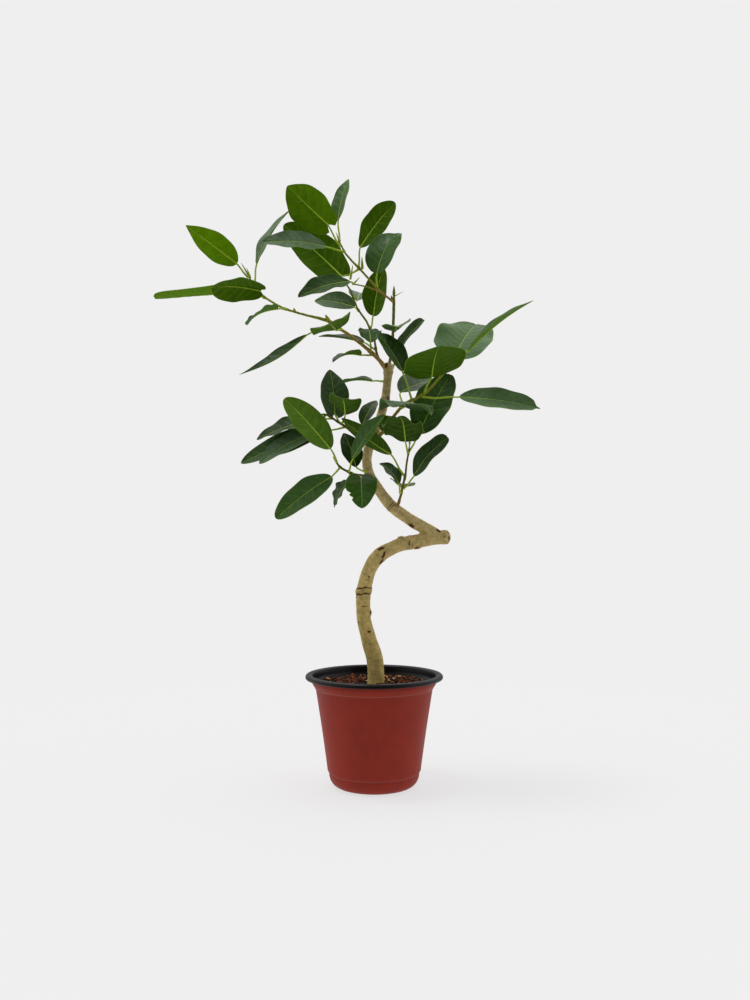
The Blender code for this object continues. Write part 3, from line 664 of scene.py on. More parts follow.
def reach_from(mesh, seeds):
    """Give each corner's distance along the skin from the nearest seed corner."""
    places = np.array([tuple(v.co) for v in mesh.vertices])
    joined = [[] for _ in mesh.vertices]
    for edge in mesh.edges:
        first, second = edge.vertices
        length = float(np.linalg.norm(places[first] - places[second]))
        joined[first].append((second, length))
        joined[second].append((first, length))
    found = np.full(len(places), np.inf)
    queue = [(0.0, int(seed)) for seed in seeds]
    for _, seed in queue:
        found[seed] = 0.0
    heapq.heapify(queue)
    while queue:
        length, here = heapq.heappop(queue)
        if length > found[here]:
            continue
        for other, step in joined[here]:
            if length + step < found[other]:
                found[other] = length + step
                heapq.heappush(queue, (length + step, other))
    return found


def store(mesh, name, values):
    """Store a value for each corner as an attribute."""
    layer = mesh.attributes.new(name, "FLOAT", "POINT")
    layer.data.foreach_set("value", np.asarray(values, np.float32))


def read_corners(mesh):
    """Return a mesh's corners and their outward directions as arrays."""
    places = np.empty(len(mesh.vertices) * 3, np.float32)
    mesh.vertices.foreach_get("co", places)
    outward = np.empty(len(mesh.vertices) * 3, np.float32)
    mesh.vertex_normals.foreach_get("vector", outward)
    return places.reshape(-1, 3).astype(float), outward.reshape(-1, 3).astype(float)


def write_corners(mesh, places):
    """Move a mesh's corners to new places."""
    mesh.vertices.foreach_set("co", places.astype(np.float32).ravel())
    mesh.update()


def limb_direction(places, centre, reach):
    """Give the direction in which the limb runs near a place."""
    near = places[np.linalg.norm(places - centre, axis=1) < reach]
    spread = near - near.mean(axis=0)
    return near.mean(axis=0), np.linalg.eigh(spread.T @ spread)[1][:, -1]


def front_point(tree, x, z):
    """Find the limb's front at (x, z), or the nearest place on it."""
    hit = tree.ray_cast(Vector((x, -0.4, z)), Vector((0, 1, 0)))
    if hit[0] is None:
        hit = tree.find_nearest(Vector((x, -0.005, z)))
    return np.array(hit[0])


def carve_trunk(trunk):
    """Raise the rings and knots, sink the scars, round the pruned ends, and mark them all."""
    mesh = trunk.data
    places, outward = read_corners(mesh)
    tree = BVHTree.FromPolygons(places.tolist(), [tuple(f.vertices) for f in mesh.polygons])
    dark = np.zeros(len(places))
    lift = np.zeros(len(places))
    for x, z, half, height, darkness in TRUNK_RINGS:
        centre, run = limb_direction(places, front_point(tree, x, z), RING_SEARCH)
        offset = places - centre
        along = offset @ run
        off_line = np.linalg.norm(offset - np.outer(along, run), axis=1)
        near = (off_line < RING_REACH) & (abs(along) < half * 4)
        angle = np.arctan2(offset @ np.cross(run, (0.0, 1.0, 0.0)), offset[:, 1])
        wander = half * 0.14 * np.sin(angle * 2 + x * 900) + half * 0.10 * np.sin(angle * 5 + z * 700)
        step = (along - wander) / half
        lumpy = 1.0 + 0.45 * np.sin(angle * 9 + z * 500)
        lift += np.where(near, height * lumpy * np.exp(-step * step), 0.0)
        edges = np.exp(-((abs(step) - 1.1) / 0.45) ** 2)
        patchy = 0.84 + 0.16 * np.sin(angle * 3 + z * 300)
        crest = np.exp(-(step / 0.6) ** 2) * (0.5 + 0.5 * np.sin(angle * 9 + z * 500))
        dark = np.maximum(dark, np.where(near, darkness * edges * patchy, 0.0))
        dark -= np.where(near, darkness * crest, 0.0)
    for x, z, wide, tall, turn, depth, darkness in TRUNK_SCARS:
        centre = front_point(tree, x, z)
        offset = places - centre
        lean = math.radians(turn)
        u = (offset[:, 0] * math.cos(lean) + offset[:, 2] * math.sin(lean)) / wide
        v = (offset[:, 2] * math.cos(lean) - offset[:, 0] * math.sin(lean)) / tall
        ragged = 1.0 + 0.16 * np.sin(np.arctan2(v, u) * 5 + x * 800)
        ring = np.sqrt(u * u + v * v + (offset[:, 1] / SCAR_DEPTH) ** 2) / ragged
        lift += depth * np.exp(-ring ** 2 * 1.1) + abs(depth) * 0.5 * np.exp(-((ring - 1.35) / 0.35) ** 2)
        dark = np.maximum(dark, darkness / (1.0 + np.exp((ring - 1.0) / SCAR_BLUR)))
    for end, run, radius, depth in TRUNK_ENDS:
        offset = places - np.array(end)
        run = np.array(run) / np.linalg.norm(run)
        along = offset @ run
        near = (along > -depth) & (np.linalg.norm(offset, axis=1) < radius * 1.8)
        share = np.clip(1.0 + along / depth, 0, 1)
        radial = offset - np.outer(along, run)
        angle = np.arctan2(radial[:, 2], radial[:, 1] + 1e-9)
        lumps = 1.0 + 0.05 * np.sin(angle * 3 + 1.0) + 0.03 * np.sin(angle * 7)
        pull = np.sqrt(np.clip(1.0 - END_ROUNDING * share ** 5.0, 0, 1)) * (1 + (lumps - 1) * share)
        pull *= 1.0 + 0.09 * np.exp(-((share - 0.60) / 0.22) ** 2)
        dome = END_DOME * (0.5 - np.clip(np.linalg.norm(radial, axis=1) / radius, 0, 1) ** 2) * share
        moved = places + radial * (pull - 1)[:, None] + np.outer(dome, run)
        places = np.where(near[:, None], moved, places)
        rim = np.exp(-((share - 0.90) / 0.13) ** 2) + 0.6 * np.exp(-((share - 0.25) / 0.08) ** 2)
        dark = np.maximum(dark, np.where(near, 0.80 * rim * (0.75 + 0.25 * np.sin(angle * 4)), 0))
    swell = np.sin(places[:, 2] * 190 + 0.7) * np.sin(places[:, 0] * 230 + places[:, 1] * 120)
    lift += TRUNK_SWELL * swell
    write_corners(mesh, places + outward * lift[:, None])
    store(mesh, "scar", np.clip(dark, -1, 1))


def attribute_value(nodes, name):
    """Return a value stored on the piece's corners."""
    node = nodes.new("ShaderNodeAttribute")
    node.attribute_name = name
    return node.outputs["Fac"]


def place_group(nodes, group):
    """Place a shared pattern in a material and return its node."""
    node = nodes.new("ShaderNodeGroup")
    node.node_tree = group
    return node


def bark_group():
    """Wrinkles across a limb, speckles and stains, as shared masks and a height."""
    group = bpy.data.node_groups.new("fig_bark_pattern", "ShaderNodeTree")
    group.interface.new_socket("Scale", in_out="INPUT", socket_type="NodeSocketFloat")
    for name in ("Wrinkle", "Speckle", "Stain", "Height"):
        group.interface.new_socket(name, in_out="OUTPUT", socket_type="NodeSocketFloat")
    nodes, link = nodes_of(group)
    given = nodes.new("NodeGroupInput")
    sized = scaled(nodes, link, object_place(nodes), given.outputs["Scale"])
    along = math_node(nodes, link, "MULTIPLY", attribute_value(nodes, "run"), given.outputs["Scale"])
    fast = math_node(nodes, link, "MULTIPLY", along, 300)
    wrinkle = grain(nodes, link, sized, 90, 5.0, 0.7, fourth=fast)
    wrinkle = smooth_step(nodes, link, wrinkle, 0.34, 0.64)
    speckle = grain(nodes, link, sized, 520, 4.0, 0.7)
    speckle = smooth_step(nodes, link, speckle, 0.54, 0.66)
    stain = smooth_step(nodes, link, grain(nodes, link, sized, 150, 5.0, 0.68), 0.36, 0.66)
    height = math_node(nodes, link, "MULTIPLY", wrinkle, 0.7)
    height = math_node(nodes, link, "SUBTRACT", height, math_node(nodes, link, "MULTIPLY", speckle, 0.35))
    out = nodes.new("NodeGroupOutput")
    for name, value in (("Wrinkle", wrinkle), ("Speckle", speckle), ("Stain", stain), ("Height", height)):
        link(value, out.inputs[name])
    return group


def bark_finish(name, pattern, scale, foot_colour, tip_colour, start, end, attribute, roughness):
    """Fig bark, going from one colour to another along an attribute or up the tree."""
    finish, nodes, link, shader = new_finish(name, roughness, 0.10)
    marks = place_group(nodes, pattern)
    marks.inputs["Scale"].default_value = scale
    if attribute == "height":
        place = split_axes(nodes, link, object_place(nodes))[2]
    else:
        place = attribute_value(nodes, attribute)
    colour = mix_colour(nodes, link, smooth_step(nodes, link, place, start, end), foot_colour, tip_colour)
    stained = mix_colour(nodes, link, marks.outputs["Stain"], (0.72, 0.76, 0.64), (1.14, 1.10, 1.04))
    colour = mix_colour(nodes, link, 1.0, colour, stained, "MULTIPLY")
    wrinkled = mix_colour(nodes, link, marks.outputs["Wrinkle"], (0.76, 0.74, 0.70), (1.08, 1.08, 1.08))
    colour = mix_colour(nodes, link, 0.32, colour, wrinkled, "MULTIPLY")
    spots = math_node(nodes, link, "MULTIPLY", marks.outputs["Speckle"], 0.34)
    colour = mix_colour(nodes, link, spots, colour, SPECKLE_BROWN)
    scar = attribute_value(nodes, "scar")
    rough_edge = math_node(nodes, link, "MULTIPLY_ADD", marks.outputs["Wrinkle"], 0.25, -0.12)
    dark = math_node(nodes, link, "ADD", scar, rough_edge)
    dark = smooth_step(nodes, link, dark, 0.22, 0.75)
    pale = smooth_step(nodes, link, scar, -0.60, -0.10, 0.85, 0.0)
    colour = mix_colour(nodes, link, pale, colour, BUMP_PALE)
    link(mix_colour(nodes, link, dark, colour, SCAR_BROWN), shader.inputs["Base Color"])
    rough = smooth_step(nodes, link, marks.outputs["Stain"], 0.0, 1.0, roughness + 0.08, roughness - 0.06)
    link(rough, shader.inputs["Roughness"])
    bump(nodes, link, shader, marks.outputs["Height"], 0.0005)
    return finish


trunk = grown_copy("grown_trunk", "trunk", TRUNK_VOXEL, 8)
trunk_places, _ = read_corners(trunk.data)
trunk_foot = np.flatnonzero(trunk_places[:, 2] < trunk_places[:, 2].min() + 0.002)
store(trunk.data, "run", reach_from(trunk.data, trunk_foot))
carve_trunk(trunk)
bark_pattern = bark_group()
trunk.data.materials.append(bark_finish("trunk_bark", bark_pattern, 1.0, BARK_OLIVE, BARK_BEIGE,
                                        0.20, 0.42, "height", 0.62))
smooth_by_angle(trunk, 180)
finish_piece(trunk, "bark", "trunk")


# ---------------------------------------------------------------- shoots
# Thin side shoots, brown and woody where they leave the trunk and olive green further out, with
# a swollen node under each leaf stalk, green bud sheaths at the growing tips, and woody knobs.
SHOOT_VOXEL = 0.00042
# How light each shoot's bark is painted: its own tone together with painted light and shade.
SHOOT_TONE_AND_SHADE = {
    "left_branch": 1.55, "leader": 0.80, "top_branch": 1.20, "middle_branch": 0.75, "right_branch": 1.2,
    "low_right_shoot": 0.70, "upper_left_shoot": 0.60, "lower_left_shoot": 0.50,
}
WOODY_BROWN = (0.520, 0.330, 0.110)
SHOOT_OLIVE = (0.350, 0.370, 0.035)
BUD_GREEN = (0.420, 0.580, 0.060)
NODE_SWELL = 0.00045
NODE_REACH = 0.0022
STALK_GAP = 0.0015          # a stalk's foot further than this from a shoot isn't on it
SHOOT_FOOT = 0.0035         # how much of a shoot's end counts as where it leaves the trunk
# A bud or spur: the shoot it is on, its foot, its tip, and the radius of its foot.
SPURS = (
    ("left_branch", (-0.1520, -0.0460, 0.6250), (-0.1610, -0.0490, 0.6400), 0.0011),
    ("left_branch", (-0.1500, -0.0450, 0.6230), (-0.1550, -0.0470, 0.6350), 0.0009),
    ("left_branch", (-0.0560, -0.0240, 0.5740), (-0.0600, -0.0265, 0.5820), 0.0026),
    ("left_branch", (-0.0975, -0.0340, 0.5845), (-0.0985, -0.0350, 0.5885), 0.0016),
    ("top_branch", (-0.0300, -0.0110, 0.6300), (-0.0268, -0.0110, 0.6480), 0.0014),
    ("top_branch", (-0.0260, -0.0105, 0.6245), (-0.0180, -0.0100, 0.6330), 0.0010),
    ("top_branch", (-0.0150, -0.0030, 0.6450), (-0.0155, -0.0050, 0.6600), 0.0016),
    ("top_branch", (-0.0445, -0.0100, 0.6800), (-0.0480, -0.0100, 0.6900), 0.0009),
    ("leader", (0.0250, 0.0095, 0.6150), (0.0252, 0.0095, 0.6270), 0.0018),
    ("leader", (0.0250, 0.0090, 0.6130), (0.0378, 0.0080, 0.6201), 0.0005),
    ("leader", (0.0230, 0.0085, 0.6090), (0.0215, 0.0080, 0.6145), 0.0016),
    ("low_right_shoot", (0.0440, -0.0170, 0.4225), (0.0436, -0.0170, 0.4310), 0.0012),
    ("right_branch", (0.1090, -0.0340, 0.5290), (0.1130, -0.0350, 0.5350), 0.0010),
    ("lower_left_shoot", (-0.0480, -0.0200, 0.4020), (-0.0510, -0.0215, 0.4080), 0.0010),
    ("upper_left_shoot", (-0.0670, -0.0220, 0.4590), (-0.0720, -0.0230, 0.4610), 0.0010),
    ("middle_branch", (-0.0420, 0.0260, 0.6400), (-0.0440, 0.0260, 0.6490), 0.0011),
)
BUD_RADIUS = 0.00145        # anything thinner is a green bud, anything thicker a woody knob


def leaf_nodes():
    """List the CAD nodes that are leaves."""
    return sorted(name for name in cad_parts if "_leaf_" in name)


def joined_copy(node):
    """Return a CAD leaf's corners and neighbours, its doubles merged."""
    work = bmesh.new()
    work.from_mesh(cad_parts[node].data)
    bmesh.ops.remove_doubles(work, verts=work.verts, dist=0.000002)
    work.verts.ensure_lookup_table()
    places = np.array([tuple(v.co) for v in work.verts])
    beside = [sorted({e.other_vert(v).index for e in v.link_edges}) for v in work.verts]
    work.free()
    return places, beside


def levels_from(start, beside):
    """Sort corners by how many edges away from a start they are."""
    found = {start: 0}
    levels = [[start]]
    while levels[-1]:
        ring = []
        for here in levels[-1]:
            for other in beside[here]:
                if other not in found:
                    found[other] = len(levels)
                    ring.append(other)
        levels.append(ring)
    return levels[:-1]


def leaf_rings(node):
    """Read a CAD leaf as rings of eight corners, from its stalk's foot, and its tip."""
    places, beside = joined_copy(node)
    for start in range(len(places)):
        levels = levels_from(start, beside)
        if [len(level) for level in levels] == [1] + [8] * 11:
            break
    else:
        raise ValueError(f"{node} isn't a leaf of eleven rings")
    rings = []
    for level in reversed(levels[1:]):
        order = [level[0]]
        while len(order) < 8:
            follow = [i for i in beside[order[-1]] if i in level and i not in order]
            if not follow:
                break
            order.append(follow[0])
        rings.append(places[order])
    return rings, places[levels[0][0]]


RINGS = {node: leaf_rings(node) for node in leaf_nodes()}
STALK_FEET = np.array([rings[0].mean(axis=0) for rings, _ in RINGS.values()])


def spur(foot, tip, radius):
    """Model a bud sheath or a knob: a cone that swells a little, then narrows to its tip."""
    foot = Vector(foot)
    rise = Vector(tip) - foot
    bpy.ops.object.select_all(action="DESELECT")
    bpy.ops.mesh.primitive_circle_add(vertices=10, radius=radius, fill_type="NGON")
    piece = bpy.context.object
    bpy.ops.object.mode_set(mode="EDIT")
    bpy.ops.mesh.select_all(action="SELECT")
    before = 1.0
    for share in (1.10, 0.98, 0.76, 0.50, 0.22):
        bpy.ops.mesh.extrude_region_move(TRANSFORM_OT_translate={"value": (0, 0, rise.length / 5)})
        bpy.ops.transform.resize(value=(share / before, share / before, 1))
        before = share
    bpy.ops.object.mode_set(mode="OBJECT")
    turn = rise.to_track_quat("Z", "Y").to_matrix().to_4x4()
    piece.data.transform(Matrix.Translation(foot) @ turn)
    turn_out(piece)
    for name, value in (("run", 0.0), ("scar", 0.0), ("age", 1.0)):
        store(piece.data, name, [value] * len(piece.data.vertices))
    piece.data.materials.append(bud_green if radius < BUD_RADIUS else None)
    return piece


def bud_finish():
    """The smooth, bright green sheath of a growing bud."""
    finish, nodes, link, shader = new_finish("bud_sheath", 0.45, 0.2)
    tint = smooth_step(nodes, link, grain(nodes, link, object_place(nodes), 700, 3.0), 0.35, 0.65)
    link(mix_colour(nodes, link, tint, BUD_GREEN, SHOOT_OLIVE), shader.inputs["Base Color"])
    return finish


def swell_nodes(mesh):
    """Swell a shoot under each leaf stalk, with a thin dark scar ring there."""
    places, outward = read_corners(mesh)
    lift = np.zeros(len(places))
    dark = np.zeros(len(places))
    for foot in STALK_FEET:
        near = np.linalg.norm(places - foot, axis=1)
        if near.min() > STALK_GAP:
            continue
        centre, run = limb_direction(places, places[near.argmin()], 0.006)
        along = (places - foot) @ run
        close = near < 0.008
        lift += np.where(close, NODE_SWELL * np.exp(-(along / NODE_REACH) ** 2), 0.0)
        edge = np.exp(-((along + 0.0012) / 0.0004) ** 2) + np.exp(-((along - 0.0016) / 0.0004) ** 2)
        dark = np.maximum(dark, np.where(close, 0.42 * edge, 0.0))
    lift += 0.00008 * np.sin(places @ np.array((700.0, 500.0, 640.0)))
    write_corners(mesh, places + outward * lift[:, None])
    store(mesh, "scar", np.clip(dark, 0, 1))


def join_pieces(main, *others):
    """Join other pieces into the main one."""
    pick(main, *others)
    bpy.ops.object.join()


def grow_shoot(node, light):
    """Grow one shoot with its nodes and buds."""
    shoot = grown_copy("grown_" + node, node, SHOOT_VOXEL, 5)
    mesh = shoot.data
    places, _ = read_corners(mesh)
    gaps = [trunk_tree.find_nearest(Vector(place))[3] for place in places[::5]]
    foot = places[::5][int(np.argmin(gaps))]
    start = np.flatnonzero(np.linalg.norm(places - foot, axis=1) < SHOOT_FOOT)
    run = reach_from(mesh, start)
    run = np.where(np.isfinite(run), run, 0.0)
    store(mesh, "run", run)
    store(mesh, "age", run / run.max())
    swell_nodes(mesh)
    spurs = [spur(foot, tip, radius) for name, foot, tip, radius in SPURS if name == node]
    # Painted light and shade: the bark's colours are scaled by how lit the shoot looks.
    brown = tuple(channel * light for channel in WOODY_BROWN)
    olive = tuple(channel * light for channel in SHOOT_OLIVE)
    shoot.data.materials.append(bark_finish(node + "_bark", bark_pattern, 2.6, brown, olive,
                                            0.08, 0.60, "age", 0.55))
    for piece in spurs:
        if piece.data.materials[0] is None:
            piece.data.materials[0] = shoot.data.materials[0]
    if spurs:
        join_pieces(shoot, *spurs)
    smooth_by_angle(shoot, 50)
    finish_piece(shoot, "shoot_bark", node)


trunk_tree = BVHTree.FromPolygons([tuple(v.co) for v in trunk.data.vertices],
                                  [tuple(f.vertices) for f in trunk.data.polygons])
bud_green = bud_finish()
for name, light in SHOOT_TONE_AND_SHADE.items():
    grow_shoot(name, light)


# ---------------------------------------------------------------- leaves
# Thick, leathery fig leaves: dark green above with a faint sheen, a pale midrib and side veins,
# lighter and duller below, with a raised yellow-green midrib that runs on into the stalk. How light
# each leaf is holds painted light and shade, and some leaves carry a painted grey sheen.
BLADE_STATIONS = (0.0, 0.05, 0.14, 0.28, 0.45, 0.62, 0.78, 0.91, 1.0)
OUTLINE_SKEW = 0.85         # how the CAD leaf's outline is widest nearer its stalk
OUTLINE_ROUNDNESS = 0.7     # and how full it is
FLANK_CURVE = 1.6           # the power by which a folded flank lifts towards its margin
USUAL_HALF = 0.018          # the half width at which a blade's wave and relief are as given
BLADE_THICKNESS = 0.0005
BLADE_ROWS = 52
BLADE_COLUMNS = 26
LEAF_SEED = 101
VEIN_SPACING = 0.0108
VEIN_COUNTS = (5, 9)
VEIN_SLOPE = 0.70           # how far a side vein climbs towards the tip, in half widths
VEIN_RELIEF = 0.00028
GROOVE_DEPTH = 0.00030      # of the groove over the midrib
GROOVE_WIDTH = 0.0011
LOBE_REACH = 0.13           # how much of the length the base lobes take up
MARGIN_WAVE = 0.0007
# The ends of a leaf's tone, whose lightness holds painted light and shade besides the leaf's own colour.
LEAF_DARK = (0.012, 0.040, 0.002)
LEAF_LIGHT = (0.045, 0.140, 0.006)
# The grey of the painted sheen mixed into some leaves.
PAINTED_SHEEN_GREY = (0.100, 0.165, 0.080)
UNDER_DARK = (0.026, 0.065, 0.001)
UNDER_LIGHT = (0.155, 0.340, 0.001)
VEIN_PALE = (0.300, 0.460, 0.060)
STALK_GREEN = (0.460, 0.620, 0.040)
STALK_FRECKLE = (0.300, 0.450, 0.030)
STALK_STRAIGHTNESS = 0.6
STALK_RADII = (0.00175, 0.00150, 0.00112, 0.00108)
MIDRIB_RADIUS = 0.00085     # where the midrib leaves the stalk
MIDRIB_TIP = 0.00010
# Each leaf's tones, in order along its shoot: how light it is, its own colour with painted light and shade,
# and how much painted grey sheen it has.
LEAF_TONES = {
    "left_branch": ((1.00, 0.00), (0.30, 0.00), (0.50, 0.50), (0.68, 0.05), (0.28, 0.10), (0.60, 0.50),
                    (0.25, 0.10), (0.45, 0.10), (0.40, 0.10)),
    "leader": ((0.60, 0.60),),
    "top_branch": ((0.62, 0.00), (0.27, 0.00), (0.75, 1.00), (0.70, 0.00), (0.30, 0.00), (0.50, 0.15)),
    "top_twig": ((0.25, 0.00),),
    "middle_branch": ((0.00, 0.00), (0.25, 0.00), (0.25, 0.05), (0.25, 0.10)),
    "right_branch": ((0.25, 0.10), (0.20, 0.00), (0.65, 0.25), (0.50, 0.20), (1.00, 0.60), (0.25, 0.10),
                     (0.20, 0.50)),
    "low_right_shoot": ((0.45, 0.10), (0.02, 0.10), (0.20, 0.20), (0.25, 0.00), (0.15, 0.00), (0.20, 0.10)),
    "lower_left_shoot": ((0.80, 0.20), (0.50, 0.00), (0.00, 0.10), (0.50, 0.20), (0.75, 0.25)),
    "upper_left_shoot": ((0.20, 0.30), (0.12, 0.05), (0.10, 0.00), (0.25, 0.10), (0.50, 0.75)),
    "trunk": ((0.15, 0.10), (0.25, 0.10), (0.25, 0.10), (0.25, 0.10), (0.05, 0.00)),
}
# A leaf's outline: where it is widest, the powers that round its base and its tip, how far its base
# lobes reach back, its margin's wave as a multiple, a beak at the tip, and notches as (side, share
# of the length, depth, length).
USUAL_SHAPE = {"wide": 0.44, "base": 0.60, "tip": 0.80, "lobe": 0.0, "wave": 1.0, "beak": 0.0, "notches": ()}
LEAF_SHAPES = {
    "left_branch": {
        1: {"wide": 0.40, "base": 0.50, "tip": 0.95, "wave": 0.8},
        2: {"wide": 0.50, "base": 0.36, "tip": 0.42, "lobe": 0.25},
        3: {"wide": 0.50, "base": 0.80, "tip": 0.85, "wave": 2.0},
        4: {"wide": 0.35, "base": 0.50, "tip": 0.22},
        5: {"wide": 0.40, "base": 0.90, "tip": 1.30, "wave": 0.8},
        6: {"tip": 0.50, "wave": 1.5},
        7: {"wide": 0.50, "tip": 0.70, "wave": 2.0},
        8: {"tip": 0.60, "wave": 3.0},
    },
    "leader": {1: {"tip": 1.0, "wave": 1.2}},
    "top_branch": {
        1: {"wide": 0.48, "base": 0.34, "tip": 0.78, "lobe": 0.3, "wave": 0.8},
        2: {"wide": 0.46, "base": 0.34, "tip": 0.55, "lobe": 0.3, "wave": 1.2},
        3: {"base": 0.55, "tip": 0.60, "wave": 1.6},
        4: {"wide": 0.50, "wave": 1.5},
        5: {"wide": 0.60, "base": 0.62, "tip": 0.55, "wave": 1.6},
        6: {"wide": 0.42, "base": 0.45, "tip": 0.62, "beak": 0.6, "wave": 1.4},
    },
    "top_twig": {1: {"tip": 0.70, "wave": 2.2}},
    "middle_branch": {2: {"base": 0.45, "tip": 0.70}, 3: {"base": 0.45, "tip": 0.80}},
    "right_branch": {
        1: {"base": 0.50, "tip": 0.60},
        2: {"wide": 0.50, "base": 0.42, "tip": 0.42, "wave": 1.8},
        3: {"base": 0.45, "tip": 0.45, "wave": 2.2},
        4: {"wide": 0.40, "base": 0.80, "tip": 1.0},
        5: {"tip": 0.50, "beak": 1.0, "wave": 1.4},
        7: {"base": 0.45, "tip": 0.50, "wave": 5.0},
    },
    "low_right_shoot": {
        1: {"base": 0.50, "tip": 0.55, "wave": 1.4},
        2: {"wave": 4.0, "tip": 0.9},
        3: {"wide": 0.50, "base": 0.55, "tip": 0.32, "wave": 2.6},
        4: {"tip": 0.70, "wave": 2.6},
        5: {"wave": 2.6},
    },
    "lower_left_shoot": {
        1: {"wide": 0.48, "tip": 0.75, "wave": 1.2},
        2: {"wide": 0.40, "base": 0.36, "tip": 0.60, "lobe": 0.4, "wave": 1.6,
            "notches": ((1, 0.66, 0.22, 0.035), (1, 0.78, 0.26, 0.030))},
        3: {"tip": 0.50, "wave": 2.4},
        4: {"base": 0.50, "tip": 0.55, "wave": 0.8},
        5: {"base": 0.50, "tip": 0.48, "wave": 1.2},
    },
    "upper_left_shoot": {
        1: {"wide": 0.34, "base": 0.38, "tip": 0.80, "lobe": 0.3, "wave": 1.6},
        2: {"tip": 0.70, "wave": 3.0},
        3: {"tip": 0.65, "wave": 1.6},
        4: {"tip": 0.65, "wave": 1.6},
        5: {"tip": 0.65, "wave": 1.6},
    },
    "trunk": {1: {"wide": 0.50, "base": 0.50, "tip": 0.22, "wave": 2.2}},
}


def leaf_looks(node):
    """Return a leaf's tones and its shape."""
    shoot, number = node.split("_leaf_")
    number = int(number)
    return LEAF_TONES[shoot][number - 1], {**USUAL_SHAPE, **LEAF_SHAPES[shoot].get(number, {})}


def blade_frames(node):
    """Read a blade's middle line, directions, width and lift at its stations."""
    rings, tip = RINGS[node]
    base = rings[3].mean(axis=0)
    pairs = []
    for ring in rings[4:]:
        spans = [np.linalg.norm(ring[i] - ring[i + 4]) for i in range(4)]
        first = int(np.argmax(spans))
        pairs.append((ring[first], ring[first + 4], ring[(first + 2) % 8], ring[(first + 6) % 8]))
    centres = [base] + [(upper + lower) / 2 for _, _, upper, lower in pairs] + [tip]
    normals = []
    for _, _, upper, lower in pairs:
        normal = (upper - lower) / np.linalg.norm(upper - lower)
        if normals and normal @ normals[-1] < 0:
            normal = -normal
        normals.append(normal)
    if sum(normals)[2] < 0:
        normals = [-normal for normal in normals]
    heading = (tip - base) / np.linalg.norm(tip - base)
    sides = []
    halves = []
    lifts = []
    stations = zip(pairs, centres[1:], normals, BLADE_STATIONS[1:])
    for (left, right, _, _), centre, normal, share in stations:
        side = np.cross(heading, normal)
        side /= np.linalg.norm(side)
        flat = abs((right - left) @ side) / 2
        rise = ((left + right) / 2 - centre) @ normal
        fullness = math.sin(math.pi * share ** OUTLINE_SKEW) ** OUTLINE_ROUNDNESS
        halves.append(math.hypot(flat, rise) / fullness)
        lifts.append(math.atan2(rise, flat))
        sides.append(side)
    normals = [normals[0], *normals, normals[-1]]
    sides = [sides[0], *sides, sides[-1]]
    half = float(np.median(halves))
    lift = float(np.median(lifts))
    return np.array(centres), np.array(normals), np.array(sides), half, lift


def blade_outline(share, across, half, shape, rng):
    """Give the half width of a blade at each corner."""
    wide = shape["wide"]
    rear = np.sin(math.pi / 2 * np.clip(share / wide, 0, 1)) ** shape["base"]
    front = np.cos(math.pi / 2 * np.clip((share - wide) / (1 - wide), 0, 1)) ** shape["tip"]
    beak = np.clip((share - 0.90) / 0.06, 0, 1)
    width = half * rear * front * (1.0 - 0.72 * shape["beak"] * beak * beak * (3 - 2 * beak))
    ripple = 0.022 * np.sin(share * 17 + rng.uniform(0, 6) + np.sign(across) * rng.uniform(1, 2))
    width = width * (1.0 + ripple * abs(across))
    for hand, place, depth, reach in shape["notches"]:
        bite = np.exp(-((share - place) / reach) ** 2) * (np.sign(across) == hand)
        width = width * (1.0 - depth * bite * abs(across))
    return width


def store_map(mesh, name, first, second):
    """Store two values for each corner as a UV map."""
    corner = np.empty(len(mesh.loops), np.int32)
    mesh.loops.foreach_get("vertex_index", corner)
    layer = mesh.uv_layers.new(name=name)
    layer.data.foreach_set("uv", np.column_stack((first, second))[corner].astype(np.float32).ravel())


def through(stations, values, shares):
    """Run a smooth curve through values at stations and read it at shares."""
    stations = np.array(stations)
    slopes = np.gradient(values, stations, axis=0)
    index = np.clip(np.searchsorted(stations, shares, side="right") - 1, 0, len(stations) - 2)
    width = stations[index + 1] - stations[index]
    t = ((shares - stations[index]) / width)[:, None]
    width = width[:, None]
    return (values[index] * (2 * t ** 3 - 3 * t ** 2 + 1) + slopes[index] * width * (t ** 3 - 2 * t ** 2 + t)
            + values[index + 1] * (3 * t ** 2 - 2 * t ** 3) + slopes[index + 1] * width * (t ** 3 - t ** 2))


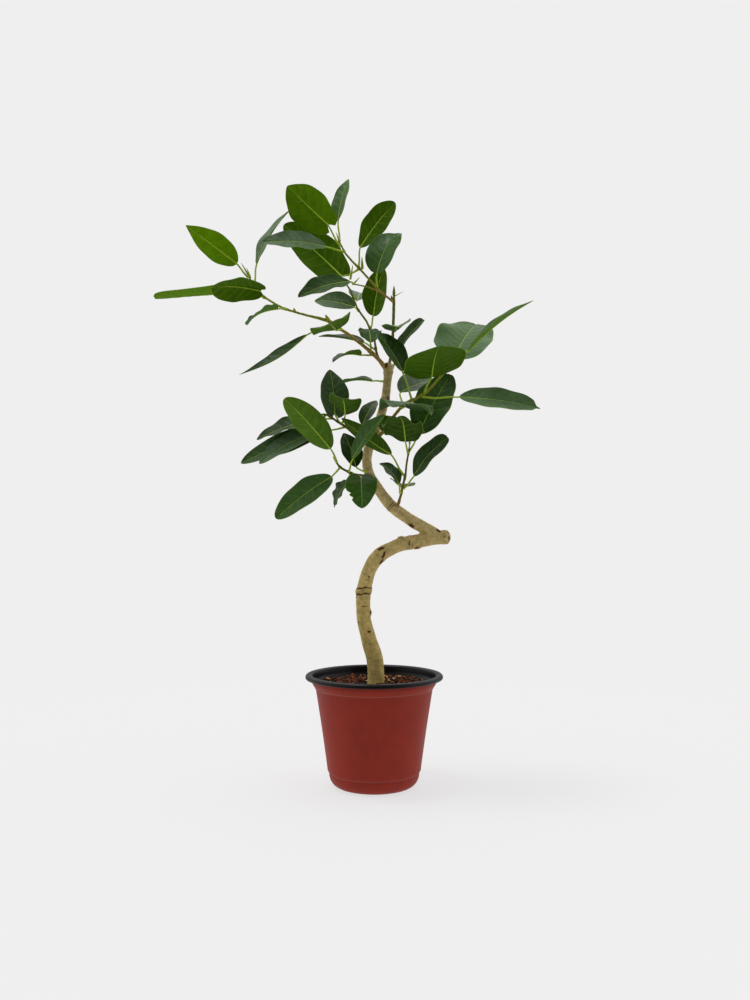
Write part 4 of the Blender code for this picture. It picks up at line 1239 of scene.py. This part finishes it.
def blade(node, shape, rng):
    """Shape a grid into one blade: outline, fold, waved margin, side veins and midrib groove."""
    centres, normals, sides, half, lift = blade_frames(node)
    length = float(np.linalg.norm(np.diff(centres, axis=0), axis=1).sum())
    bpy.ops.object.select_all(action="DESELECT")
    bpy.ops.mesh.primitive_grid_add(x_subdivisions=BLADE_COLUMNS, y_subdivisions=BLADE_ROWS, size=2.0)
    piece = bpy.context.object
    mesh = piece.data
    grid, _ = read_corners(mesh)
    across = np.sign(grid[:, 0]) * abs(grid[:, 0]) ** 1.25
    share = 0.004 + 0.993 * (grid[:, 1] + 1) / 2
    middle = through(BLADE_STATIONS, centres, share)
    slope = through(BLADE_STATIONS, centres, np.minimum(share + 0.005, 1.0))
    slope -= through(BLADE_STATIONS, centres, np.maximum(share - 0.005, 0.0))
    slope /= np.linalg.norm(slope, axis=1)[:, None]
    side = through(BLADE_STATIONS, sides, share)
    side -= slope * (side * slope).sum(axis=1)[:, None]
    side /= np.linalg.norm(side, axis=1)[:, None]
    normal = np.cross(side, slope)
    margin = abs(across)
    width = blade_outline(share, across, half, shape, rng)
    wave = MARGIN_WAVE * rng.uniform(0.7, 1.2) * (half / USUAL_HALF) * shape["wave"]
    turns = rng.choice((1.5, 2.0, 2.5, 3.0)) * 2 * math.pi
    phase = rng.uniform(0, 6)
    sway = np.where(across > 0, phase, phase + rng.uniform(1, 4))
    rise = wave * margin ** 2.4 * np.sin(share * turns + sway) * np.sin(math.pi * share) ** 0.5
    count = min(VEIN_COUNTS[1], max(VEIN_COUNTS[0], round(length / VEIN_SPACING)))
    climb = count * half / length * VEIN_SLOPE * margin ** 1.25
    climb -= 0.16 * np.sin(share * 8 + phase) + 0.35 * (across > 0)
    between = 0.5 - 0.5 * np.cos(2 * math.pi * (share * count - climb))
    fade = np.clip(margin / 0.15, 0, 1) * np.clip((1 - margin) / 0.25, 0, 1)
    rise += VEIN_RELIEF * between * fade * np.clip(half / USUAL_HALF, 0.2, 1.6)
    rise -= GROOVE_DEPTH * np.exp(-(across * width / GROOVE_WIDTH) ** 2)
    curve = margin ** FLANK_CURVE * width * math.sin(lift)
    places = middle + side * (across * width * math.cos(lift))[:, None]
    places += normal * (curve + rise)[:, None]
    places += normal * (BLADE_THICKNESS / 2)
    back = shape["lobe"] * half * margin ** 1.3 * np.exp(-(share / LOBE_REACH) ** 2)
    places -= slope * back[:, None]
    write_corners(mesh, places)
    mesh.uv_layers[0].name = "share"
    store_map(mesh, "size", across * width, share * length)
    store_map(mesh, "veins", margin, share * count - climb)
    if (np.array(mesh.polygons[0].normal) @ normals[1]) < 0:
        bpy.ops.object.mode_set(mode="EDIT")
        bpy.ops.mesh.select_all(action="SELECT")
        bpy.ops.mesh.flip_normals()
        bpy.ops.object.mode_set(mode="OBJECT")
    mesh.materials.append(leaf_upper)
    mesh.materials.append(leaf_under)
    apply_step(piece, "SOLIDIFY", thickness=BLADE_THICKNESS, offset=-1.0, material_offset=1,
               material_offset_rim=1)
    return piece, centres, normals


def stalk(node, centres, normals):
    """Model a leaf's stalk, with its flared foot, and the raised midrib under the blade."""
    rings, _ = RINGS[node]
    path = [ring.mean(axis=0) for ring in rings[:3]]
    for index, share in ((1, 0.35), (2, 0.70)):
        straight = path[0] + (centres[0] - path[0]) * share
        path[index] = path[index] + (straight - path[index]) * STALK_STRAIGHTNESS
    run = path[0] - path[1]
    path.insert(0, path[0] + run / np.linalg.norm(run) * 0.0008)
    radii = list(STALK_RADII)
    shares = np.array((0.0, 0.06, 0.14, 0.24, 0.36, 0.48, 0.60, 0.72, 0.84, 0.93))
    middle = through(BLADE_STATIONS, centres, shares)
    normal = through(BLADE_STATIONS, normals, shares)
    for place, upward, share in zip(middle, normal, shares):
        radius = MIDRIB_RADIUS * (1 - share) ** 0.9 + MIDRIB_TIP
        path.append(place - upward * (radius - MIDRIB_TIP))
        radii.append(radius)
    curve = bpy.data.curves.new("stalk", "CURVE")
    curve.dimensions = "3D"
    curve.bevel_depth = 1.0
    curve.bevel_resolution = 3
    curve.use_fill_caps = True
    spline = curve.splines.new("NURBS")
    spline.points.add(len(path) - 1)
    spline.use_endpoint_u = True
    spline.order_u = 3
    spline.resolution_u = 3
    for point, place, radius in zip(spline.points, path, radii):
        point.co = (*place, 1.0)
        point.radius = radius
    piece = bpy.data.objects.new("stalk", curve)
    scene.collection.objects.link(piece)
    pick(piece)
    bpy.ops.object.convert(target="MESH")
    turn_out(piece)
    piece.data.materials.append(leaf_stalk)
    return piece


def vein_group():
    """Masks of a leaf's midrib, side veins, margin and mottling, and a height, from its maps."""
    group = bpy.data.node_groups.new("fig_leaf_veins", "ShaderNodeTree")
    for name in ("Midrib", "Veins", "Margin", "Mottle", "Height"):
        group.interface.new_socket(name, in_out="OUTPUT", socket_type="NodeSocketFloat")
    nodes, link = nodes_of(group)
    maps = {}
    for name in ("share", "size", "veins"):
        layer = nodes.new("ShaderNodeUVMap")
        layer.uv_map = name
        maps[name] = split_axes(nodes, link, layer.outputs[0])
    across = math_node(nodes, link, "ABSOLUTE", maps["size"][0])
    taper = math_node(nodes, link, "MULTIPLY_ADD", maps["share"][1], -0.8, 1.1)
    across = math_node(nodes, link, "DIVIDE", across, taper)
    midrib = smooth_step(nodes, link, across, 0.00030, 0.00080, 1.0, 0.0)
    turn = math_node(nodes, link, "FRACT", maps["veins"][1])
    turn = math_node(nodes, link, "ABSOLUTE", math_node(nodes, link, "SUBTRACT", turn, 0.5))
    line = smooth_step(nodes, link, turn, 0.45, 0.492)
    fade = smooth_step(nodes, link, maps["veins"][0], 0.45, 0.95, 1.0, 0.15)
    veins = math_node(nodes, link, "MULTIPLY", line, fade)
    margin = smooth_step(nodes, link, maps["veins"][0], 0.955, 0.995)
    place = object_place(nodes)
    mottle = grain(nodes, link, place, 120, 4.0, 0.6)
    mesh_veins = nodes.new("ShaderNodeTexVoronoi")
    mesh_veins.feature = "DISTANCE_TO_EDGE"
    mesh_veins.inputs["Scale"].default_value = 620
    link(place, mesh_veins.inputs["Vector"])
    net = smooth_step(nodes, link, mesh_veins.outputs["Distance"], 0.0, 0.12)
    height = math_node(nodes, link, "MULTIPLY", net, 0.25)
    height = math_node(nodes, link, "SUBTRACT", height, math_node(nodes, link, "MULTIPLY", veins, 0.6))
    height = math_node(nodes, link, "SUBTRACT", height, midrib)
    out = nodes.new("NodeGroupOutput")
    for name, value in (("Midrib", midrib), ("Veins", veins), ("Margin", margin),
                        ("Mottle", mottle), ("Height", height)):
        link(value, out.inputs[name])
    return group


def leaf_finish(name, pattern, dark, light, rough, shine, vein_share, midrib_share, bump_height):
    """One side of a leaf, as light as its tones say, with painted light and shade, with as much painted grey
    sheen as they give, and with its veins and margin.
    """
    finish, nodes, link, shader = new_finish(name, rough, shine)
    marks = place_group(nodes, pattern)
    # Painted light and shade: a leaf's tone makes it lighter or darker to match how lit it looks.
    colour = mix_colour(nodes, link, attribute_value(nodes, "tone"), dark, light)
    # Painted sheen: a grey mixed into the colour where a leaf shows a sheen.
    colour = mix_colour(nodes, link, attribute_value(nodes, "painted_sheen"), colour, PAINTED_SHEEN_GREY)
    mottled = smooth_step(nodes, link, marks.outputs["Mottle"], 0.30, 0.70, 0.88, 1.14)
    veins = math_node(nodes, link, "MULTIPLY", marks.outputs["Veins"], vein_share)
    colour = mix_colour(nodes, link, veins, scaled(nodes, link, colour, mottled), VEIN_PALE)
    edge = math_node(nodes, link, "MULTIPLY", marks.outputs["Margin"], 0.35)
    colour = mix_colour(nodes, link, edge, colour, VEIN_PALE)
    midrib = math_node(nodes, link, "MULTIPLY", marks.outputs["Midrib"], midrib_share)
    link(mix_colour(nodes, link, midrib, colour, VEIN_PALE), shader.inputs["Base Color"])
    link(smooth_step(nodes, link, marks.outputs["Mottle"], 0.2, 0.8, rough - 0.05, rough + 0.08),
         shader.inputs["Roughness"])
    bump(nodes, link, shader, marks.outputs["Height"], bump_height)
    return finish


def stalk_finish():
    """A leaf stalk: yellow green, with faint paler freckles."""
    finish, nodes, link, shader = new_finish("leaf_stalk", 0.45, 0.15)
    place = object_place(nodes)
    freckle = smooth_step(nodes, link, grain(nodes, link, place, 900, 3.0), 0.35, 0.70)
    link(mix_colour(nodes, link, freckle, STALK_GREEN, STALK_FRECKLE), shader.inputs["Base Color"])
    bump(nodes, link, shader, freckle, 0.00005)
    return finish


vein_pattern = vein_group()
leaf_upper = leaf_finish("leaf_upper", vein_pattern, LEAF_DARK, LEAF_LIGHT,
                         rough=0.36, shine=0.15, vein_share=0.24, midrib_share=0.75, bump_height=0.00020)
leaf_under = leaf_finish("leaf_under", vein_pattern, UNDER_DARK, UNDER_LIGHT,
                         rough=0.55, shine=0.04, vein_share=0.34, midrib_share=0.6, bump_height=-0.00020)
leaf_stalk = stalk_finish()
for number, node in enumerate(leaf_nodes()):
    tones, shape = leaf_looks(node)
    leaf, leaf_centres, leaf_normals = blade(node, shape, random.Random(LEAF_SEED + number))
    leaf.name = "grown_" + node
    join_pieces(leaf, stalk(node, leaf_centres, leaf_normals))
    # Store each leaf's tone, with its painted light and shade, and its painted grey sheen.
    for attribute, value in zip(("tone", "painted_sheen"), tones):
        store(leaf.data, attribute, [value] * len(leaf.data.vertices))
    smooth_by_angle(leaf, 50)
    finish_piece(leaf, "leaf", node)
